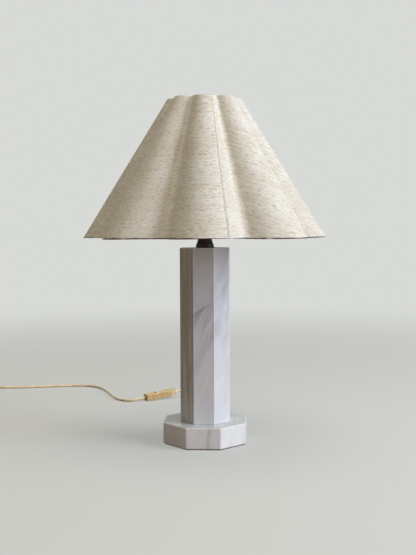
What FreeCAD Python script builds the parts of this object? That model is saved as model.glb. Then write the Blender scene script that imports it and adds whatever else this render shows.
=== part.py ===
import FreeCAD, Part
import math
import os
import Sketcher

# Column table lamp: an octagonal marble column on an octagonal marble base, a dark turned
# collar, a screw lamp holder and a linen shade whose outline is a ring of eight round lobes.
# The linen is two panels that meet on the front lobe and on the back one.
# A two-core flex leaves the back of the base, passes an inline switch and ends in a plug.
# Frame: origin at the middle of the underside of the felt pad, +Z up, the camera side is -Y.
# All lengths are millimetres, all angles degrees.

Vector = FreeCAD.Vector
doc = FreeCAD.newDocument("ColumnTableLamp")
sheet = doc.addObject("Spreadsheet::Sheet", "Sizes")

SIZES = [
    # marble
    ("felt_thickness", 1.5, "felt pad under the base"),
    ("felt_inset", 3.0, "felt edge inside the marble edge"),
    ("base_flats", 137.0, "base, across flats"),
    ("base_height", 34.5, "base slab"),
    ("base_edge", 1.3, "chamfer round the slab"),
    ("column_flats", 81.4, "column, across flats"),
    ("column_height", 289.0, "column"),
    ("column_edge", 0.7, "chamfer at the column's ends"),
    ("recess_radius", 25.0, "round recess under the base"),
    ("recess_depth", 21.0, "depth of that recess"),
    # threaded rod that clamps the marble
    ("rod_radius", 5.0, "hollow threaded rod, outside"),
    ("rod_wall", 1.0, "its wall"),
    ("rod_clearance", 0.6, "rod to marble bore"),
    ("thread_clearance", 0.05, "rod to nut, cap and collar"),
    ("rod_tail", 0.5, "rod below its nut"),
    ("rod_in_cap", 9.0, "rod inside the holder cap"),
    ("nut_flats", 14.0, "hexagon nut, across flats"),
    ("nut_height", 5.0, "hexagon nut"),
    ("washer_radius", 15.0, "washer, outside"),
    ("washer_thickness", 1.5, "washer"),
    # collar and lamp holder
    ("collar_radius", 15.3, "turned collar, at its foot"),
    ("collar_height", 17.5, "turned collar"),
    ("neck_radius", 10.4, "collar and cap where they meet"),
    ("cap_height", 24.0, "holder cap"),
    ("sleeve_wall", 1.4, "holder sleeve under its thread"),
    ("sleeve_thread", 0.7, "depth of the sleeve's thread"),
    ("sleeve_pitch", 2.5, "pitch of the sleeve's thread"),
    ("lip_thickness", 1.4, "lip at the mouth of the sleeve"),
    ("lip_clearance", 1.2, "bulb cap to that lip"),
    ("lip_gap", 1.05, "thread shell to that lip"),
    ("insert_gap", 1.0, "foot of the sleeve to the insert"),
    ("insert_wall", 3.9, "insert round the thread shell"),
    ("insert_height", 14.0, "moulded insert"),
    ("insert_socket", 5.5, "depth of the insert's socket"),
    ("shell_wall", 0.5, "thread shell"),
    ("shell_height", 20.0, "thread shell"),
    ("contact_height", 2.8, "centre contact"),
    ("contact_gap", 0.3, "bulb tip to the centre contact"),
    ("terminal_offset", 9.0, "terminal screws from the axis"),
    ("screw_radius", 1.5, "terminal screw"),
    ("screw_head", 1.6, "head of a terminal screw"),
    ("screw_depth", 5.0, "terminal screw inside the insert"),
    # shade rings and fitter
    ("ring_width", 6.85, "shade rings, bore to edge"),
    ("ring_hub_width", 2.85, "hub of a shade ring, bore to outside"),
    ("ring_thickness", 2.0, "flange of a shade ring"),
    ("ring_hub_height", 3.5, "whole shade ring"),
    ("ring_clearance", 0.15, "ring to sleeve"),
    ("ring_level", 17.0, "underside of the fitter above the holder cap"),
    ("fitter_clearance", 0.3, "fitter to sleeve and to the rings"),
    ("fitter_thickness", 1.5, "fitter ring of the shade"),
    ("fitter_width", 10.0, "fitter ring, from its hole to its edge"),
    # shade
    ("shade_drop", 42.0, "bottom edge below the fitter"),
    ("shade_height", 228.0, "shade, edge to edge"),
    ("shade_bottom_radius", 201.8, "lobe crest at the bottom edge"),
    ("shade_top_radius", 61.4, "lobe crest at the top edge"),
    ("shade_turn", 3.3, "shade turned about the column, degrees"),
    ("fabric_thickness", 0.8, "linen cover"),
    ("join_angle", 37.0, "joins of the cover, round a lobe from its crest, degrees"),
    ("lining_gap", 0.2, "cover to lining"),
    ("lining_thickness", 0.5, "lining"),
    ("frame_wire_radius", 1.5, "ring and rib wire"),
    ("arm_radius", 1.5, "wire of the four arms"),
    ("wire_gap", 0.7, "wire to lining, level"),
    # bulb
    ("bulb_radius", 30.0, "bulb glass"),
    ("bulb_length", 106.0, "bulb, tip to crown"),
    ("glass_thickness", 0.8, "bulb glass"),
    ("bulb_cap_radius", 13.1, "bulb cap over its thread"),
    ("bulb_cap_thread", 0.9, "depth of the cap's thread"),
    ("bulb_cap_wall", 0.35, "sheet of the cap"),
    ("bulb_clearance", 0.4, "bulb cap to the thread shell"),
    ("bulb_pitch", 3.6, "pitch of the bulb thread"),
    # cord
    ("cord_radius", 2.6, "round flex"),
    ("cord_hole_clearance", 0.3, "flex to the holes it passes"),
    ("core_radius", 1.1, "each of its two cores"),
    ("exit_level", 9.0, "axis of the flex where it leaves the base"),
    ("exit_hole_radius", 4.8, "hole through the base wall"),
    ("bush_flange_radius", 7.5, "flange of the exit bush"),
    ("bush_nose", 19.5, "tapered nose of the exit bush"),
    ("bush_reach", 11.0, "exit bush inside the base"),
    # inline switch
    ("switch_length", 58.0, "switch body"),
    ("switch_width", 17.0, "both halves together"),
    ("switch_height", 13.0, "switch body"),
    ("switch_wall", 1.5, "wall of the halves"),
    ("switch_edge", 1.0, "rounded edge of the halves"),
    ("cap_length", 8.0, "flared end cap of the switch"),
    ("rocker_length", 12.6, "rocker"),
    ("rocker_width", 6.4, "rocker"),
    ("rocker_gap", 0.4, "rocker to the sides of its window"),
    ("rocker_end_gap", 0.9, "rocker to the ends of its window"),
    ("rocker_tilt", 8.0, "rocker at rest, degrees"),
    ("pin_radius", 0.9, "rocker pin"),
    ("pin_clearance", 0.1, "rocker to its pin"),
    ("pin_depth", 3.4, "pin below the top of the switch"),
    ("post_radius", 2.1, "screw post of the switch"),
    ("switch_screw_radius", 0.95, "screw of the switch"),
    ("switch_head_radius", 1.8, "head of that screw"),
    ("switch_stub", 7.0, "flex inside the switch at each end"),
    # plug
    ("plug_length", 38.0, "plug body"),
    ("plug_width", 35.0, "plug body at the pins"),
    ("plug_neck", 17.0, "plug body at the flex"),
    ("plug_edge", 2.2, "rounded edge of the plug"),
    ("plug_pin_radius", 2.0, "plug pin"),
    ("plug_pin_length", 19.0, "plug pin outside the body"),
    ("plug_pin_spacing", 19.0, "plug pins, axis to axis"),
    ("plug_pin_root", 8.0, "plug pin inside the body"),
    ("plug_root_radius", 1.6, "plug pin inside the body"),
    ("plug_root_step", 0.3, "plug body to the full pin"),
    ("relief_length", 25.0, "tapered strain relief"),
    # coil of the spare flex
    ("coil_outer", 37.0, "axis of the outermost turn"),
    ("coil_gap", 0.9, "one turn to the next, side by side"),
    ("coil_layer_gap", 0.5, "one layer to the next"),
    ("tie_gap", 0.1, "coil to its tie"),
    ("tie_thickness", 0.4, "wire tie round the coil"),
    ("tie_width", 4.0, "wire tie"),
]

for row, (alias, value, meaning) in enumerate(SIZES, start=1):
    sheet.set("A%d" % row, str(value))
    sheet.setAlias("A%d" % row, alias)
    sheet.set("B%d" % row, meaning)
doc.recompute()


class Size:
    """A length that is both a formula over the sheet and its present value."""

    def __init__(self, formula, value):
        self.formula = formula
        self.value = value

    def joined(self, sign, other, value):
        return Size("(%s %s %s)" % (self.formula, sign, other.formula), value)

    def __add__(self, other):
        other = as_size(other)
        return self.joined("+", other, self.value + other.value)

    def __sub__(self, other):
        other = as_size(other)
        return self.joined("-", other, self.value - other.value)

    def __mul__(self, other):
        other = as_size(other)
        return self.joined("*", other, self.value * other.value)

    def __truediv__(self, other):
        other = as_size(other)
        return self.joined("/", other, self.value / other.value)

    def __radd__(self, other):
        return as_size(other) + self

    def __rsub__(self, other):
        return as_size(other) - self

    def __rmul__(self, other):
        return as_size(other) * self

    def __neg__(self):
        return as_size(0) - self

    def __float__(self):
        return float(self.value)


def as_size(value):
    """Take a plain number as a Size of its own."""
    if isinstance(value, Size):
        return value
    return Size("%.6f" % float(value), float(value))


class Cells:
    """Every alias of the sheet, as a Size."""


S = Cells()
for alias, value, meaning in SIZES:
    setattr(S, alias, Size("Sizes." + alias, value))

# ---------------------------------------------------------------- levels and shared sizes

base_bottom = S.felt_thickness
base_top = base_bottom + S.base_height
column_top = base_top + S.column_height
recess_ceiling = base_bottom + S.recess_depth
nut_bottom = recess_ceiling - S.washer_thickness - S.nut_height
rod_bottom = nut_bottom - S.rod_tail
collar_top = column_top + S.collar_height
rod_top = collar_top + S.rod_in_cap
cap_top = collar_top + S.cap_height
insert_bottom = cap_top + S.insert_gap
socket_floor = insert_bottom + S.insert_height - S.insert_socket
fitter_bottom = cap_top + S.ring_level
shade_bottom = fitter_bottom - S.shade_drop
shade_top = shade_bottom + S.shade_height

OCTAGON_CORNER = math.tan(math.radians(22.5))      # half a side over half the flats
HEXAGON_CORNER = math.tan(math.radians(30.0))
SEAM = 0.05                                        # between pieces that stay together

marble_bore = S.rod_radius + S.rod_clearance
rod_hole = S.rod_radius + S.thread_clearance
cord_hole = S.cord_radius + S.cord_hole_clearance
base_back = S.base_flats / 2

shell_radius = S.bulb_cap_radius + S.bulb_clearance
shell_outer = shell_radius + S.shell_wall
sleeve_bore = shell_outer + S.insert_wall
sleeve_root = sleeve_bore + S.sleeve_wall
sleeve_radius = sleeve_root + S.sleeve_thread
sleeve_height = (socket_floor - cap_top + SEAM + S.shell_height + S.lip_gap
                 + S.lip_thickness)
ring_bore = sleeve_radius + S.ring_clearance
fitter_hole = sleeve_radius + S.fitter_clearance
fitter_radius = fitter_hole + S.fitter_width

NODES = []


def node(feature, label):
    """Name a sub-part and list it for export."""
    feature.Label = label
    NODES.append(feature)
    return feature


# ---------------------------------------------------------------- building blocks

def bind(feature, path, size):
    """Tie one property of a feature to the sheet."""
    if isinstance(size, Size):
        feature.setExpression(path, size.formula)
    else:
        feature.setExpression(path, as_size(size).formula)


def stand(feature, x=0, y=0, z=0):
    """Tie the place of a feature to the sheet."""
    bind(feature, "Placement.Base.x", x)
    bind(feature, "Placement.Base.y", y)
    bind(feature, "Placement.Base.z", z)
    return feature


def new_body(name):
    return doc.addObject("PartDesign::Body", name)


def new_sketch(body, plane_role, name):
    """A sketch on one of the body's own origin planes."""
    sketch = body.newObject("Sketcher::SketchObject", name)
    plane = [item for item in body.Origin.OriginFeatures if item.Role == plane_role][0]
    sketch.AttachmentSupport = [(plane, "")]
    sketch.MapMode = "FlatFace"
    return sketch


def hold(sketch, kind, line, size):
    """Hold one coordinate of a line's first point at a size from the sheet."""
    size = as_size(size)
    index = sketch.addConstraint(Sketcher.Constraint(kind, -1, 1, line, 1, size.value))
    sketch.setExpression("Constraints[%d]" % index, size.formula)


def draw_outline(sketch, points):
    """A closed outline of straight lines whose corners are all tied to the sheet."""
    first = sketch.GeometryCount
    count = len(points)
    for index in range(count):
        start = points[index]
        end = points[(index + 1) % count]
        line = Part.LineSegment(Vector(float(start[0]), float(start[1]), 0),
                                Vector(float(end[0]), float(end[1]), 0))
        sketch.addGeometry(line, False)
    for index in range(count):
        following = first + (index + 1) % count
        sketch.addConstraint(Sketcher.Constraint("Coincident", first + index, 2, following, 1))
    for index, (across, along) in enumerate(points):
        hold(sketch, "DistanceX", first + index, across)
        hold(sketch, "DistanceY", first + index, along)


def draw_circle(sketch, radius, across=0, along=0):
    """A circle tied to the sheet."""
    radius = as_size(radius)
    index = sketch.addGeometry(Part.Circle(Vector(float(across), float(along), 0),
                                           Vector(0, 0, 1), radius.value), False)
    held = sketch.addConstraint(Sketcher.Constraint("Radius", index, radius.value))
    sketch.setExpression("Constraints[%d]" % held, radius.formula)
    for kind, place in (("DistanceX", as_size(across)), ("DistanceY", as_size(along))):
        held = sketch.addConstraint(Sketcher.Constraint(kind, -1, 1, index, 3, place.value))
        sketch.setExpression("Constraints[%d]" % held, place.formula)


def polygon(half_flats, corner, sides):
    """Corners of a regular polygon with flats facing along Y; corner is tan(half angle)."""
    points = []
    radius = half_flats * math.sqrt(1 + corner * corner)
    for index in range(sides):
        angle = math.radians(270 + (index + 0.5) * 360 / sides)
        points.append((radius * math.cos(angle), radius * math.sin(angle)))
    return points


def turned(name, outline):
    """A piece turned about its own Z axis; the outline holds (radius, height) pairs."""
    body = new_body(name)
    sketch = new_sketch(body, "XZ_Plane", name + "_outline")
    draw_outline(sketch, outline)
    spin = body.newObject("PartDesign::Revolution", name + "_spin")
    spin.Profile = sketch
    spin.ReferenceAxis = (sketch, ["V_Axis"])
    spin.Angle = 360
    return body


def padded(name, plane_role, outline, length, holes=()):
    """A prism on one of its own planes; holes are (radius, across, along)."""
    body = new_body(name)
    sketch = new_sketch(body, plane_role, name + "_outline")
    draw_outline(sketch, outline)
    for radius, across, along in holes:
        draw_circle(sketch, radius, across, along)
    pad = body.newObject("PartDesign::Pad", name + "_pad")
    pad.Profile = sketch
    bind(pad, "Length", length)
    return body


def pocket(body, name, plane_role, radius, depth, across=0, along=0, reverse=False):
    """A round pocket from one of the body's own planes."""
    sketch = new_sketch(body, plane_role, name + "_circle")
    draw_circle(sketch, radius, across, along)
    cut = body.newObject("PartDesign::Pocket", name)
    cut.Profile = sketch
    bind(cut, "Length", depth)
    cut.Reversed = reverse
    return cut


def chamfered(body, name, size, wanted):
    """Chamfer those edges of the body that the test picks."""
    doc.recompute()
    base = body.Tip
    picked = ["Edge%d" % (index + 1) for index, edge in enumerate(base.Shape.Edges)
              if wanted(edge)]
    chamfer = body.newObject("PartDesign::Chamfer", name)
    chamfer.Base = (base, picked)
    bind(chamfer, "Size", size)
    return chamfer


def box(name, lengths, corner):
    """A block from its lowest corner."""
    block = doc.addObject("Part::Box", name)
    for path, size in zip(("Length", "Width", "Height"), lengths):
        bind(block, path, size)
    return stand(block, *corner)


AXES = {"x": FreeCAD.Rotation(Vector(0, 1, 0), 90),
        "y": FreeCAD.Rotation(Vector(1, 0, 0), -90),
        "z": FreeCAD.Rotation()}


def rod(name, radius, length, start, axis="z"):
    """A cylinder from the middle of its first end, along X, Y or Z."""
    cylinder = doc.addObject("Part::Cylinder", name)
    bind(cylinder, "Radius", radius)
    bind(cylinder, "Height", length)
    cylinder.Placement = FreeCAD.Placement(Vector(), AXES[axis])
    return stand(cylinder, *start)


def fused(name, pieces):
    join = doc.addObject("Part::MultiFuse", name)
    join.Shapes = pieces
    return join


def cut_from(name, base, tool):
    cut = doc.addObject("Part::Cut", name)
    cut.Base = base
    cut.Tool = tool
    return cut


def common(name, pieces):
    meet = doc.addObject("Part::MultiCommon", name)
    meet.Shapes = pieces
    return meet


def rounded(name, base, radius, wanted):
    """Fillet those edges of a shape that the test picks."""
    doc.recompute()
    fillet = doc.addObject("Part::Fillet", name)
    fillet.Base = base
    fillet.Edges = [(index + 1, radius, radius) for index, edge in enumerate(base.Shape.Edges)
                    if wanted(edge)]
    return fillet


def solid_feature(name, shape, placement=None):
    """A shape made with the geometry functions, for curved sheets, wires and cords."""
    feature = doc.addObject("Part::Feature", name)
    feature.Shape = shape
    if placement is not None:
        feature.Placement = placement
    return feature


def edge_is_level(edge, height):
    """True where the whole edge lies at one height."""
    low = edge.BoundBox.ZMin
    high = edge.BoundBox.ZMax
    return abs(low - height) < 1e-4 and abs(high - height) < 1e-4


# ---------------------------------------------------------------- tubes along a route

def tangent_route(points):
    """Straight runs joined by tangent arcs, each as large as its two runs allow."""
    edges = []
    radii = []
    start = points[0]
    for before, corner, after in zip(points, points[1:], points[2:]):
        run_in = corner - before
        run_out = after - corner
        half_turn = run_in.getAngle(run_out) / 2
        reach = 0.45 * min(run_in.Length, run_out.Length)
        radius = reach / math.tan(half_turn)
        heading_in = Vector(run_in).normalize()
        heading_out = Vector(run_out).normalize()
        arc_start = corner - heading_in * reach
        arc_end = corner + heading_out * reach
        inward = Vector(heading_out - heading_in).normalize()
        middle = corner + inward * (radius / math.cos(half_turn) - radius)
        edges.append(Part.LineSegment(start, arc_start).toShape())
        edges.append(Part.Arc(arc_start, middle, arc_end).toShape())
        radii.append(radius)
        start = arc_end
    edges.append(Part.LineSegment(start, points[-1]).toShape())
    return Part.Wire(edges), radii


def tube_along(path, radius):
    """A round tube along a smooth wire."""
    first = path.OrderedEdges[0]
    start = first.valueAt(first.FirstParameter)
    heading = first.tangentAt(first.FirstParameter)
    section = Part.Wire([Part.Circle(start, heading, radius).toShape()])
    tube = path.makePipeShell([section], True, False)
    wanted = math.pi * radius * radius * path.Length
    if abs(tube.Volume / wanted - 1) > 0.005:
        raise ValueError("tube volume %.1f, section times length %.1f" % (tube.Volume, wanted))
    return tube


def cord_tube(label, points, radius):
    """A tube along a list of chosen points, with its tightest bend printed."""
    path, radii = tangent_route([Vector(*point) for point in points])
    print("%s: length %.1f, tightest bend %.1f" % (label, path.Length, min(radii)))
    return tube_along(path, radius)


# ---------------------------------------------------------------- base and column

def build_felt_pad():
    outline = polygon(S.base_flats / 2 - S.felt_inset, OCTAGON_CORNER, 8)
    return padded("felt_pad", "XY_Plane", outline, S.felt_thickness)


def build_marble_base():
    """Octagonal slab: recess and bore underneath, a cord hole to the back."""
    outline = polygon(S.base_flats / 2, OCTAGON_CORNER, 8)
    body = padded("marble_base", "XY_Plane", outline, S.base_height)
    chamfered(body, "base_chamfer", S.base_edge, lambda edge: True)
    pocket(body, "base_bore", "XY_Plane", marble_bore, S.base_height + 1, reverse=True)
    pocket(body, "base_recess", "XY_Plane", S.recess_radius, S.recess_depth, reverse=True)
    pocket(body, "base_cord_hole", "XZ_Plane", S.exit_hole_radius, base_back + 1,
           along=S.exit_level - S.felt_thickness)
    return stand(body, z=base_bottom)


def build_marble_column():
    outline = polygon(S.column_flats / 2, OCTAGON_CORNER, 8)
    body = padded("marble_column", "XY_Plane", outline, S.column_height)
    top = float(S.column_height)

    def end_edge(edge):
        return edge_is_level(edge, 0) or edge_is_level(edge, top)

    chamfered(body, "column_chamfer", S.column_edge, end_edge)
    pocket(body, "column_bore", "XY_Plane", marble_bore, S.column_height + 1, reverse=True)
    return stand(body, z=base_top)


def build_threaded_rod():
    length = rod_top - rod_bottom
    inside = S.rod_radius - S.rod_wall
    body = turned("threaded_rod", [(inside, 0), (S.rod_radius, 0), (S.rod_radius, length),
                                   (inside, length)])
    return stand(body, z=rod_bottom)


def build_rod_nut():
    outline = polygon(S.nut_flats / 2, HEXAGON_CORNER, 6)
    body = padded("rod_nut", "XY_Plane", outline, S.nut_height, [(rod_hole, 0, 0)])
    return stand(body, z=nut_bottom)


def build_rod_washer():
    body = turned("rod_washer", [(rod_hole, 0), (S.washer_radius, 0),
                                 (S.washer_radius, S.washer_thickness),
                                 (rod_hole, S.washer_thickness)])
    return stand(body, z=nut_bottom + S.nut_height)


def build_cord_bush():
    """Bush in the back wall of the base with a tapered nose outside; its axis is +Y."""
    flange = 2.0
    bevel = 0.5
    barrel = S.exit_hole_radius - SEAM
    nose_root = S.exit_hole_radius + 0.4
    nose_tip = S.cord_radius + 1.0
    body = turned("cord_bush", [
        (cord_hole, -S.bush_reach), (barrel, -S.bush_reach), (barrel, 0),
        (S.bush_flange_radius, 0), (S.bush_flange_radius, flange - bevel),
        (S.bush_flange_radius - bevel, flange), (nose_root, flange),
        (nose_tip, S.bush_nose), (cord_hole, S.bush_nose)])
    body.Placement = FreeCAD.Placement(Vector(), AXES["y"])
    return stand(body, y=base_back, z=S.exit_level)


# ---------------------------------------------------------------- collar and lamp holder

# Outline of the collar upwards: how far it has narrowed from foot to neck, and the share of
# its height: a flat foot ring, a bulge, a cove and two beads.
COLLAR_PROFILE = [(0, 0), (0, 0.137), (0.184, 0.166), (0.184, 0.189), (0.061, 0.229),
                  (0.061, 0.309), (0.327, 0.411), (0.531, 0.469), (0.531, 0.509),
                  (0.429, 0.543), (0.469, 0.623), (0.694, 0.663), (0.694, 0.691),
                  (0.633, 0.720), (0.735, 0.811), (0.939, 0.880), (1, 1)]


def build_stepped_collar():
    """Turned collar between the marble and the holder."""
    narrowing = S.collar_radius - S.neck_radius
    outside = [(S.collar_radius - narrowing * narrowed, S.collar_height * risen)
               for narrowed, risen in COLLAR_PROFILE]
    body = turned("stepped_collar", [(rod_hole, 0)] + outside + [(rod_hole, S.collar_height)])
    return stand(body, z=column_top)


def build_holder_cap():
    """Domed cap of the holder, screwed on the rod; the sleeve stands on its skirt."""
    wall = 1.2
    skirt = sleeve_root
    shoulder = S.cap_height - 4
    waist = S.neck_radius + 0.8
    floor = S.rod_in_cap + 0.5
    body = turned("holder_cap", [
        (rod_hole, 0), (S.neck_radius, 0), (S.neck_radius, 1.5), (waist, 2.2), (waist, 7.0),
        (skirt - 5.1, 11.0), (skirt - wall, shoulder - 3.6), (skirt, shoulder),
        (skirt, S.cap_height), (skirt - wall, S.cap_height), (skirt - wall, shoulder + 0.4),
        (skirt - wall * 2, shoulder - 3.0), (skirt - 6.1, 11.8), (S.neck_radius - 0.2, floor),
        (rod_hole, floor)])
    return stand(body, z=collar_top)


RIDGE_RISE = 0.36          # where a thread ridge reaches its crest, as a share of the pitch
RIDGE_CREST = 0.50         # where it leaves the crest
RIDGE_FOOT = 0.86          # where it is back at the root


def thread_ridges(root, crest, start, end, pitch):
    """Outline points of as many thread ridges as fit upwards from start to end."""
    points = []
    count = int((float(end) - float(start)) / float(pitch) - RIDGE_FOOT) + 1
    for index in range(count):
        level = start + pitch * index
        points += [(root, level), (crest, level + pitch * RIDGE_RISE),
                   (crest, level + pitch * RIDGE_CREST), (root, level + pitch * RIDGE_FOOT)]
    return points


def build_holder_sleeve():
    """Threaded sleeve that carries the shade rings, with a lip at its mouth."""
    bevel = 0.5
    plain = as_size(2.5)
    ridges = thread_ridges(sleeve_root, sleeve_radius, plain, sleeve_height - bevel,
                           S.sleeve_pitch)
    lip_bore = S.bulb_cap_radius + S.lip_clearance
    lip_bottom = sleeve_height - S.lip_thickness
    body = turned("holder_sleeve", [(sleeve_bore, 0), (sleeve_root, 0)] + ridges + [
        (sleeve_root, sleeve_height - bevel), (sleeve_root - bevel, sleeve_height),
        (lip_bore, sleeve_height), (lip_bore, lip_bottom), (sleeve_bore, lip_bottom)])
    return stand(body, z=cap_top)


def build_holder_insert():
    """Moulded disc with a socket for the thread shell and two screw holes."""
    radius = sleeve_bore - SEAM
    floor = S.insert_height - S.insert_socket
    body = turned("holder_insert", [
        (0, 0), (radius, 0), (radius, S.insert_height), (shell_outer + SEAM, S.insert_height),
        (shell_outer + SEAM, floor), (0, floor)])
    for side, name in ((1, "insert_hole_right"), (-1, "insert_hole_left")):
        pocket(body, name, "XY_Plane", S.screw_radius + SEAM, S.screw_depth + 1,
               across=S.terminal_offset * side, reverse=True)
    return stand(body, z=insert_bottom)


def build_thread_shell():
    """Brass shell that the bulb screws into, with a flared mouth."""
    flare = 0.8
    body = turned("thread_shell", [
        (shell_radius, 0), (shell_outer, 0), (shell_outer, S.shell_height - 1),
        (shell_outer + flare, S.shell_height), (shell_radius + flare, S.shell_height),
        (shell_radius, S.shell_height - 1)])
    return stand(body, z=socket_floor + SEAM)


def build_centre_contact():
    """Leaf on the socket floor with a raised button under the bulb."""
    leaf = 0.6
    width = 5.0
    reach = 10.0
    strip = box("contact_strip", (reach + 4, width, leaf), (-reach, -width / 2, 0))
    button = rod("contact_button", 2.2, S.contact_height, (0, 0, 0))
    return stand(fused("centre_contact", [strip, button]), z=socket_floor + SEAM)


def build_terminal_screws():
    """Two screws up into the insert from below; their heads hold the cores."""
    screws = []
    head = S.screw_head
    bottom = insert_bottom - head
    for side, name in ((1, "terminal_right"), (-1, "terminal_left")):
        place = S.terminal_offset * side
        screws.append(rod(name + "_head", S.screw_radius * 1.8, head, (place, 0, bottom)))
        screws.append(rod(name + "_shank", S.screw_radius, S.screw_depth + head,
                          (place, 0, bottom)))
    return fused("terminal_screws", screws)


def shade_ring_outline():
    """A flange with a hub on it, both with bevelled edges."""
    bevel = 0.4
    edge = ring_bore + S.ring_width
    hub = ring_bore + S.ring_hub_width
    return [(ring_bore, 0), (edge - bevel, 0), (edge, bevel), (edge, S.ring_thickness - bevel),
            (edge - bevel, S.ring_thickness), (hub, S.ring_thickness),
            (hub - bevel, S.ring_hub_height), (ring_bore, S.ring_hub_height)]


def build_upper_shade_ring():
    body = turned("upper_shade_ring", shade_ring_outline())
    return stand(body, z=fitter_bottom + S.fitter_thickness + S.fitter_clearance)


def build_lower_shade_ring():
    """The same ring upside down under the fitter."""
    body = turned("lower_shade_ring", shade_ring_outline())
    body.Placement = FreeCAD.Placement(Vector(), FreeCAD.Rotation(Vector(1, 0, 0), 180))
    return stand(body, z=fitter_bottom - S.fitter_clearance)


# ---------------------------------------------------------------- bulb

# Heights inside the bulb count from its tip.
bulb_tip_level = socket_floor + SEAM + S.contact_height + S.contact_gap
TIP_HEIGHT = 1.6
CAP_START = 5.4
INSULATOR_TOP = 6.3
THREAD_START = 7.2
THREAD_END = 23.5
CAP_END = 26.5
NECK_BOTTOM = 19.0
STEM_BOTTOM = 20.0
STEM_TOP = 52.0
glass_neck = S.bulb_cap_radius - S.bulb_cap_thread - S.bulb_cap_wall - 0.1


def build_bulb_tip():
    flat = 2.8
    rim = 4.2
    body = turned("bulb_tip", [(0, 0), (flat, 0), (rim, 1.1), (rim, TIP_HEIGHT),
                               (0, TIP_HEIGHT)])
    return stand(body, z=bulb_tip_level)


def build_bulb_insulator():
    radius = S.bulb_cap_radius - 2.1
    body = turned("bulb_insulator", [
        (0, TIP_HEIGHT), (4.6, TIP_HEIGHT), (radius, CAP_START - 0.1), (radius, INSULATOR_TOP),
        (0, INSULATOR_TOP)])
    return stand(body, z=bulb_tip_level)


def build_bulb_cap():
    """Thin metal cap with its thread ridges."""
    wall = S.bulb_cap_wall
    crest = S.bulb_cap_radius
    root = crest - S.bulb_cap_thread
    foot = crest - 2.0
    collar = root + 0.5
    outside = thread_ridges(root, crest, as_size(THREAD_START), THREAD_END, S.bulb_pitch)
    inside = [(radius - wall, level) for radius, level in reversed(outside)]
    body = turned("bulb_cap", [(foot, CAP_START), (root, THREAD_START - 0.6)] + outside + [
        (collar, THREAD_END), (collar, CAP_END), (collar - wall, CAP_END),
        (collar - wall, THREAD_END)] + inside + [
        (root - wall, THREAD_START - 0.3), (foot, INSULATOR_TOP)])
    return stand(body, z=bulb_tip_level)


def bulb_profile(inset):
    """Half outline of the glass: neck, tangent cone and sphere, inset by a wall."""
    radius = float(S.bulb_radius) - inset
    neck = float(glass_neck) - inset
    centre = float(S.bulb_length) - float(S.bulb_radius)
    neck_top = CAP_END + 3.5
    reach = math.hypot(neck, centre - neck_top)
    lean = math.asin(radius / reach) - math.atan2(neck, centre - neck_top)
    touch = Vector(radius * math.cos(lean), 0, centre - radius * math.sin(lean))
    middle_angle = (math.pi / 2 - lean) / 2
    middle = Vector(radius * math.cos(middle_angle), 0, centre + radius * math.sin(middle_angle))
    crown = Vector(0, 0, centre + radius)
    return [Part.LineSegment(Vector(neck, 0, NECK_BOTTOM), Vector(neck, 0, neck_top)).toShape(),
            Part.LineSegment(Vector(neck, 0, neck_top), touch).toShape(),
            Part.Arc(touch, middle, crown).toShape()]


def build_bulb_glass():
    """Hollow opal glass, open at the neck inside the cap."""
    outside = bulb_profile(0)
    inside = bulb_profile(float(S.glass_thickness))
    crown = Part.LineSegment(outside[-1].Vertexes[-1].Point, inside[-1].Vertexes[-1].Point)
    foot = Part.LineSegment(inside[0].Vertexes[0].Point, outside[0].Vertexes[0].Point)
    edges = outside + [crown.toShape()] + inside + [foot.toShape()]
    face = Part.Face(Part.Wire(Part.__sortEdges__(edges)))
    glass = face.revolve(Vector(0, 0, 0), Vector(0, 0, 1), 360)
    return stand(solid_feature("bulb_glass", glass), z=bulb_tip_level)


def build_bulb_stem():
    """Glass stem inside the neck that carries the filament wires."""
    flare = glass_neck - S.glass_thickness - SEAM
    stem = 4.0
    body = turned("bulb_stem", [
        (0, STEM_BOTTOM), (flare, STEM_BOTTOM), (flare, STEM_BOTTOM + 2), (stem + 1.5, 27),
        (stem, 34), (stem, STEM_TOP - 2), (stem / 2, STEM_TOP), (0, STEM_TOP)])
    return stand(body, z=bulb_tip_level)


def build_bulb_filament():
    """The filament and its two leads, as one wire that rises and falls again."""
    wire = 0.5
    foot = STEM_TOP + 0.1
    rising = [(-1.2, 0, foot), (-3.5, 0, foot + 8), (-10, 0, foot + 17), (-14, 0, foot + 27),
              (-8, 3, foot + 34)]
    falling = [(-across, along, level) for across, along, level in reversed(rising)]
    points = rising + [(0, 5, foot + 36)] + falling
    path, radii = tangent_route([Vector(*point) for point in points])
    return stand(solid_feature("bulb_filament", tube_along(path, wire)), z=bulb_tip_level)


# ---------------------------------------------------------------- shade

LOBES = 8
LOBE_SHARE = 0.28          # radius of a lobe's round over the crest radius
VALLEY_SHARE = 0.06        # radius of a valley's round over the crest radius
LOBE_STEP = 360 / LOBES


def lobe_geometry(crest):
    """Radii and centre distances of the rounds for one crest radius."""
    lobe = LOBE_SHARE * crest
    valley = VALLEY_SHARE * crest
    lobe_centre = crest - lobe
    half = math.radians(LOBE_STEP / 2)
    across = lobe_centre * math.sin(half)
    valley_centre = lobe_centre * math.cos(half) + math.sqrt((lobe + valley) ** 2 - across ** 2)
    return lobe, valley, lobe_centre, valley_centre


def toward(degrees, radius, level):
    """A point at a radius, counted from the camera side."""
    angle = math.radians(degrees - 90)
    return Vector(radius * math.cos(angle), radius * math.sin(angle), level)


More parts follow.
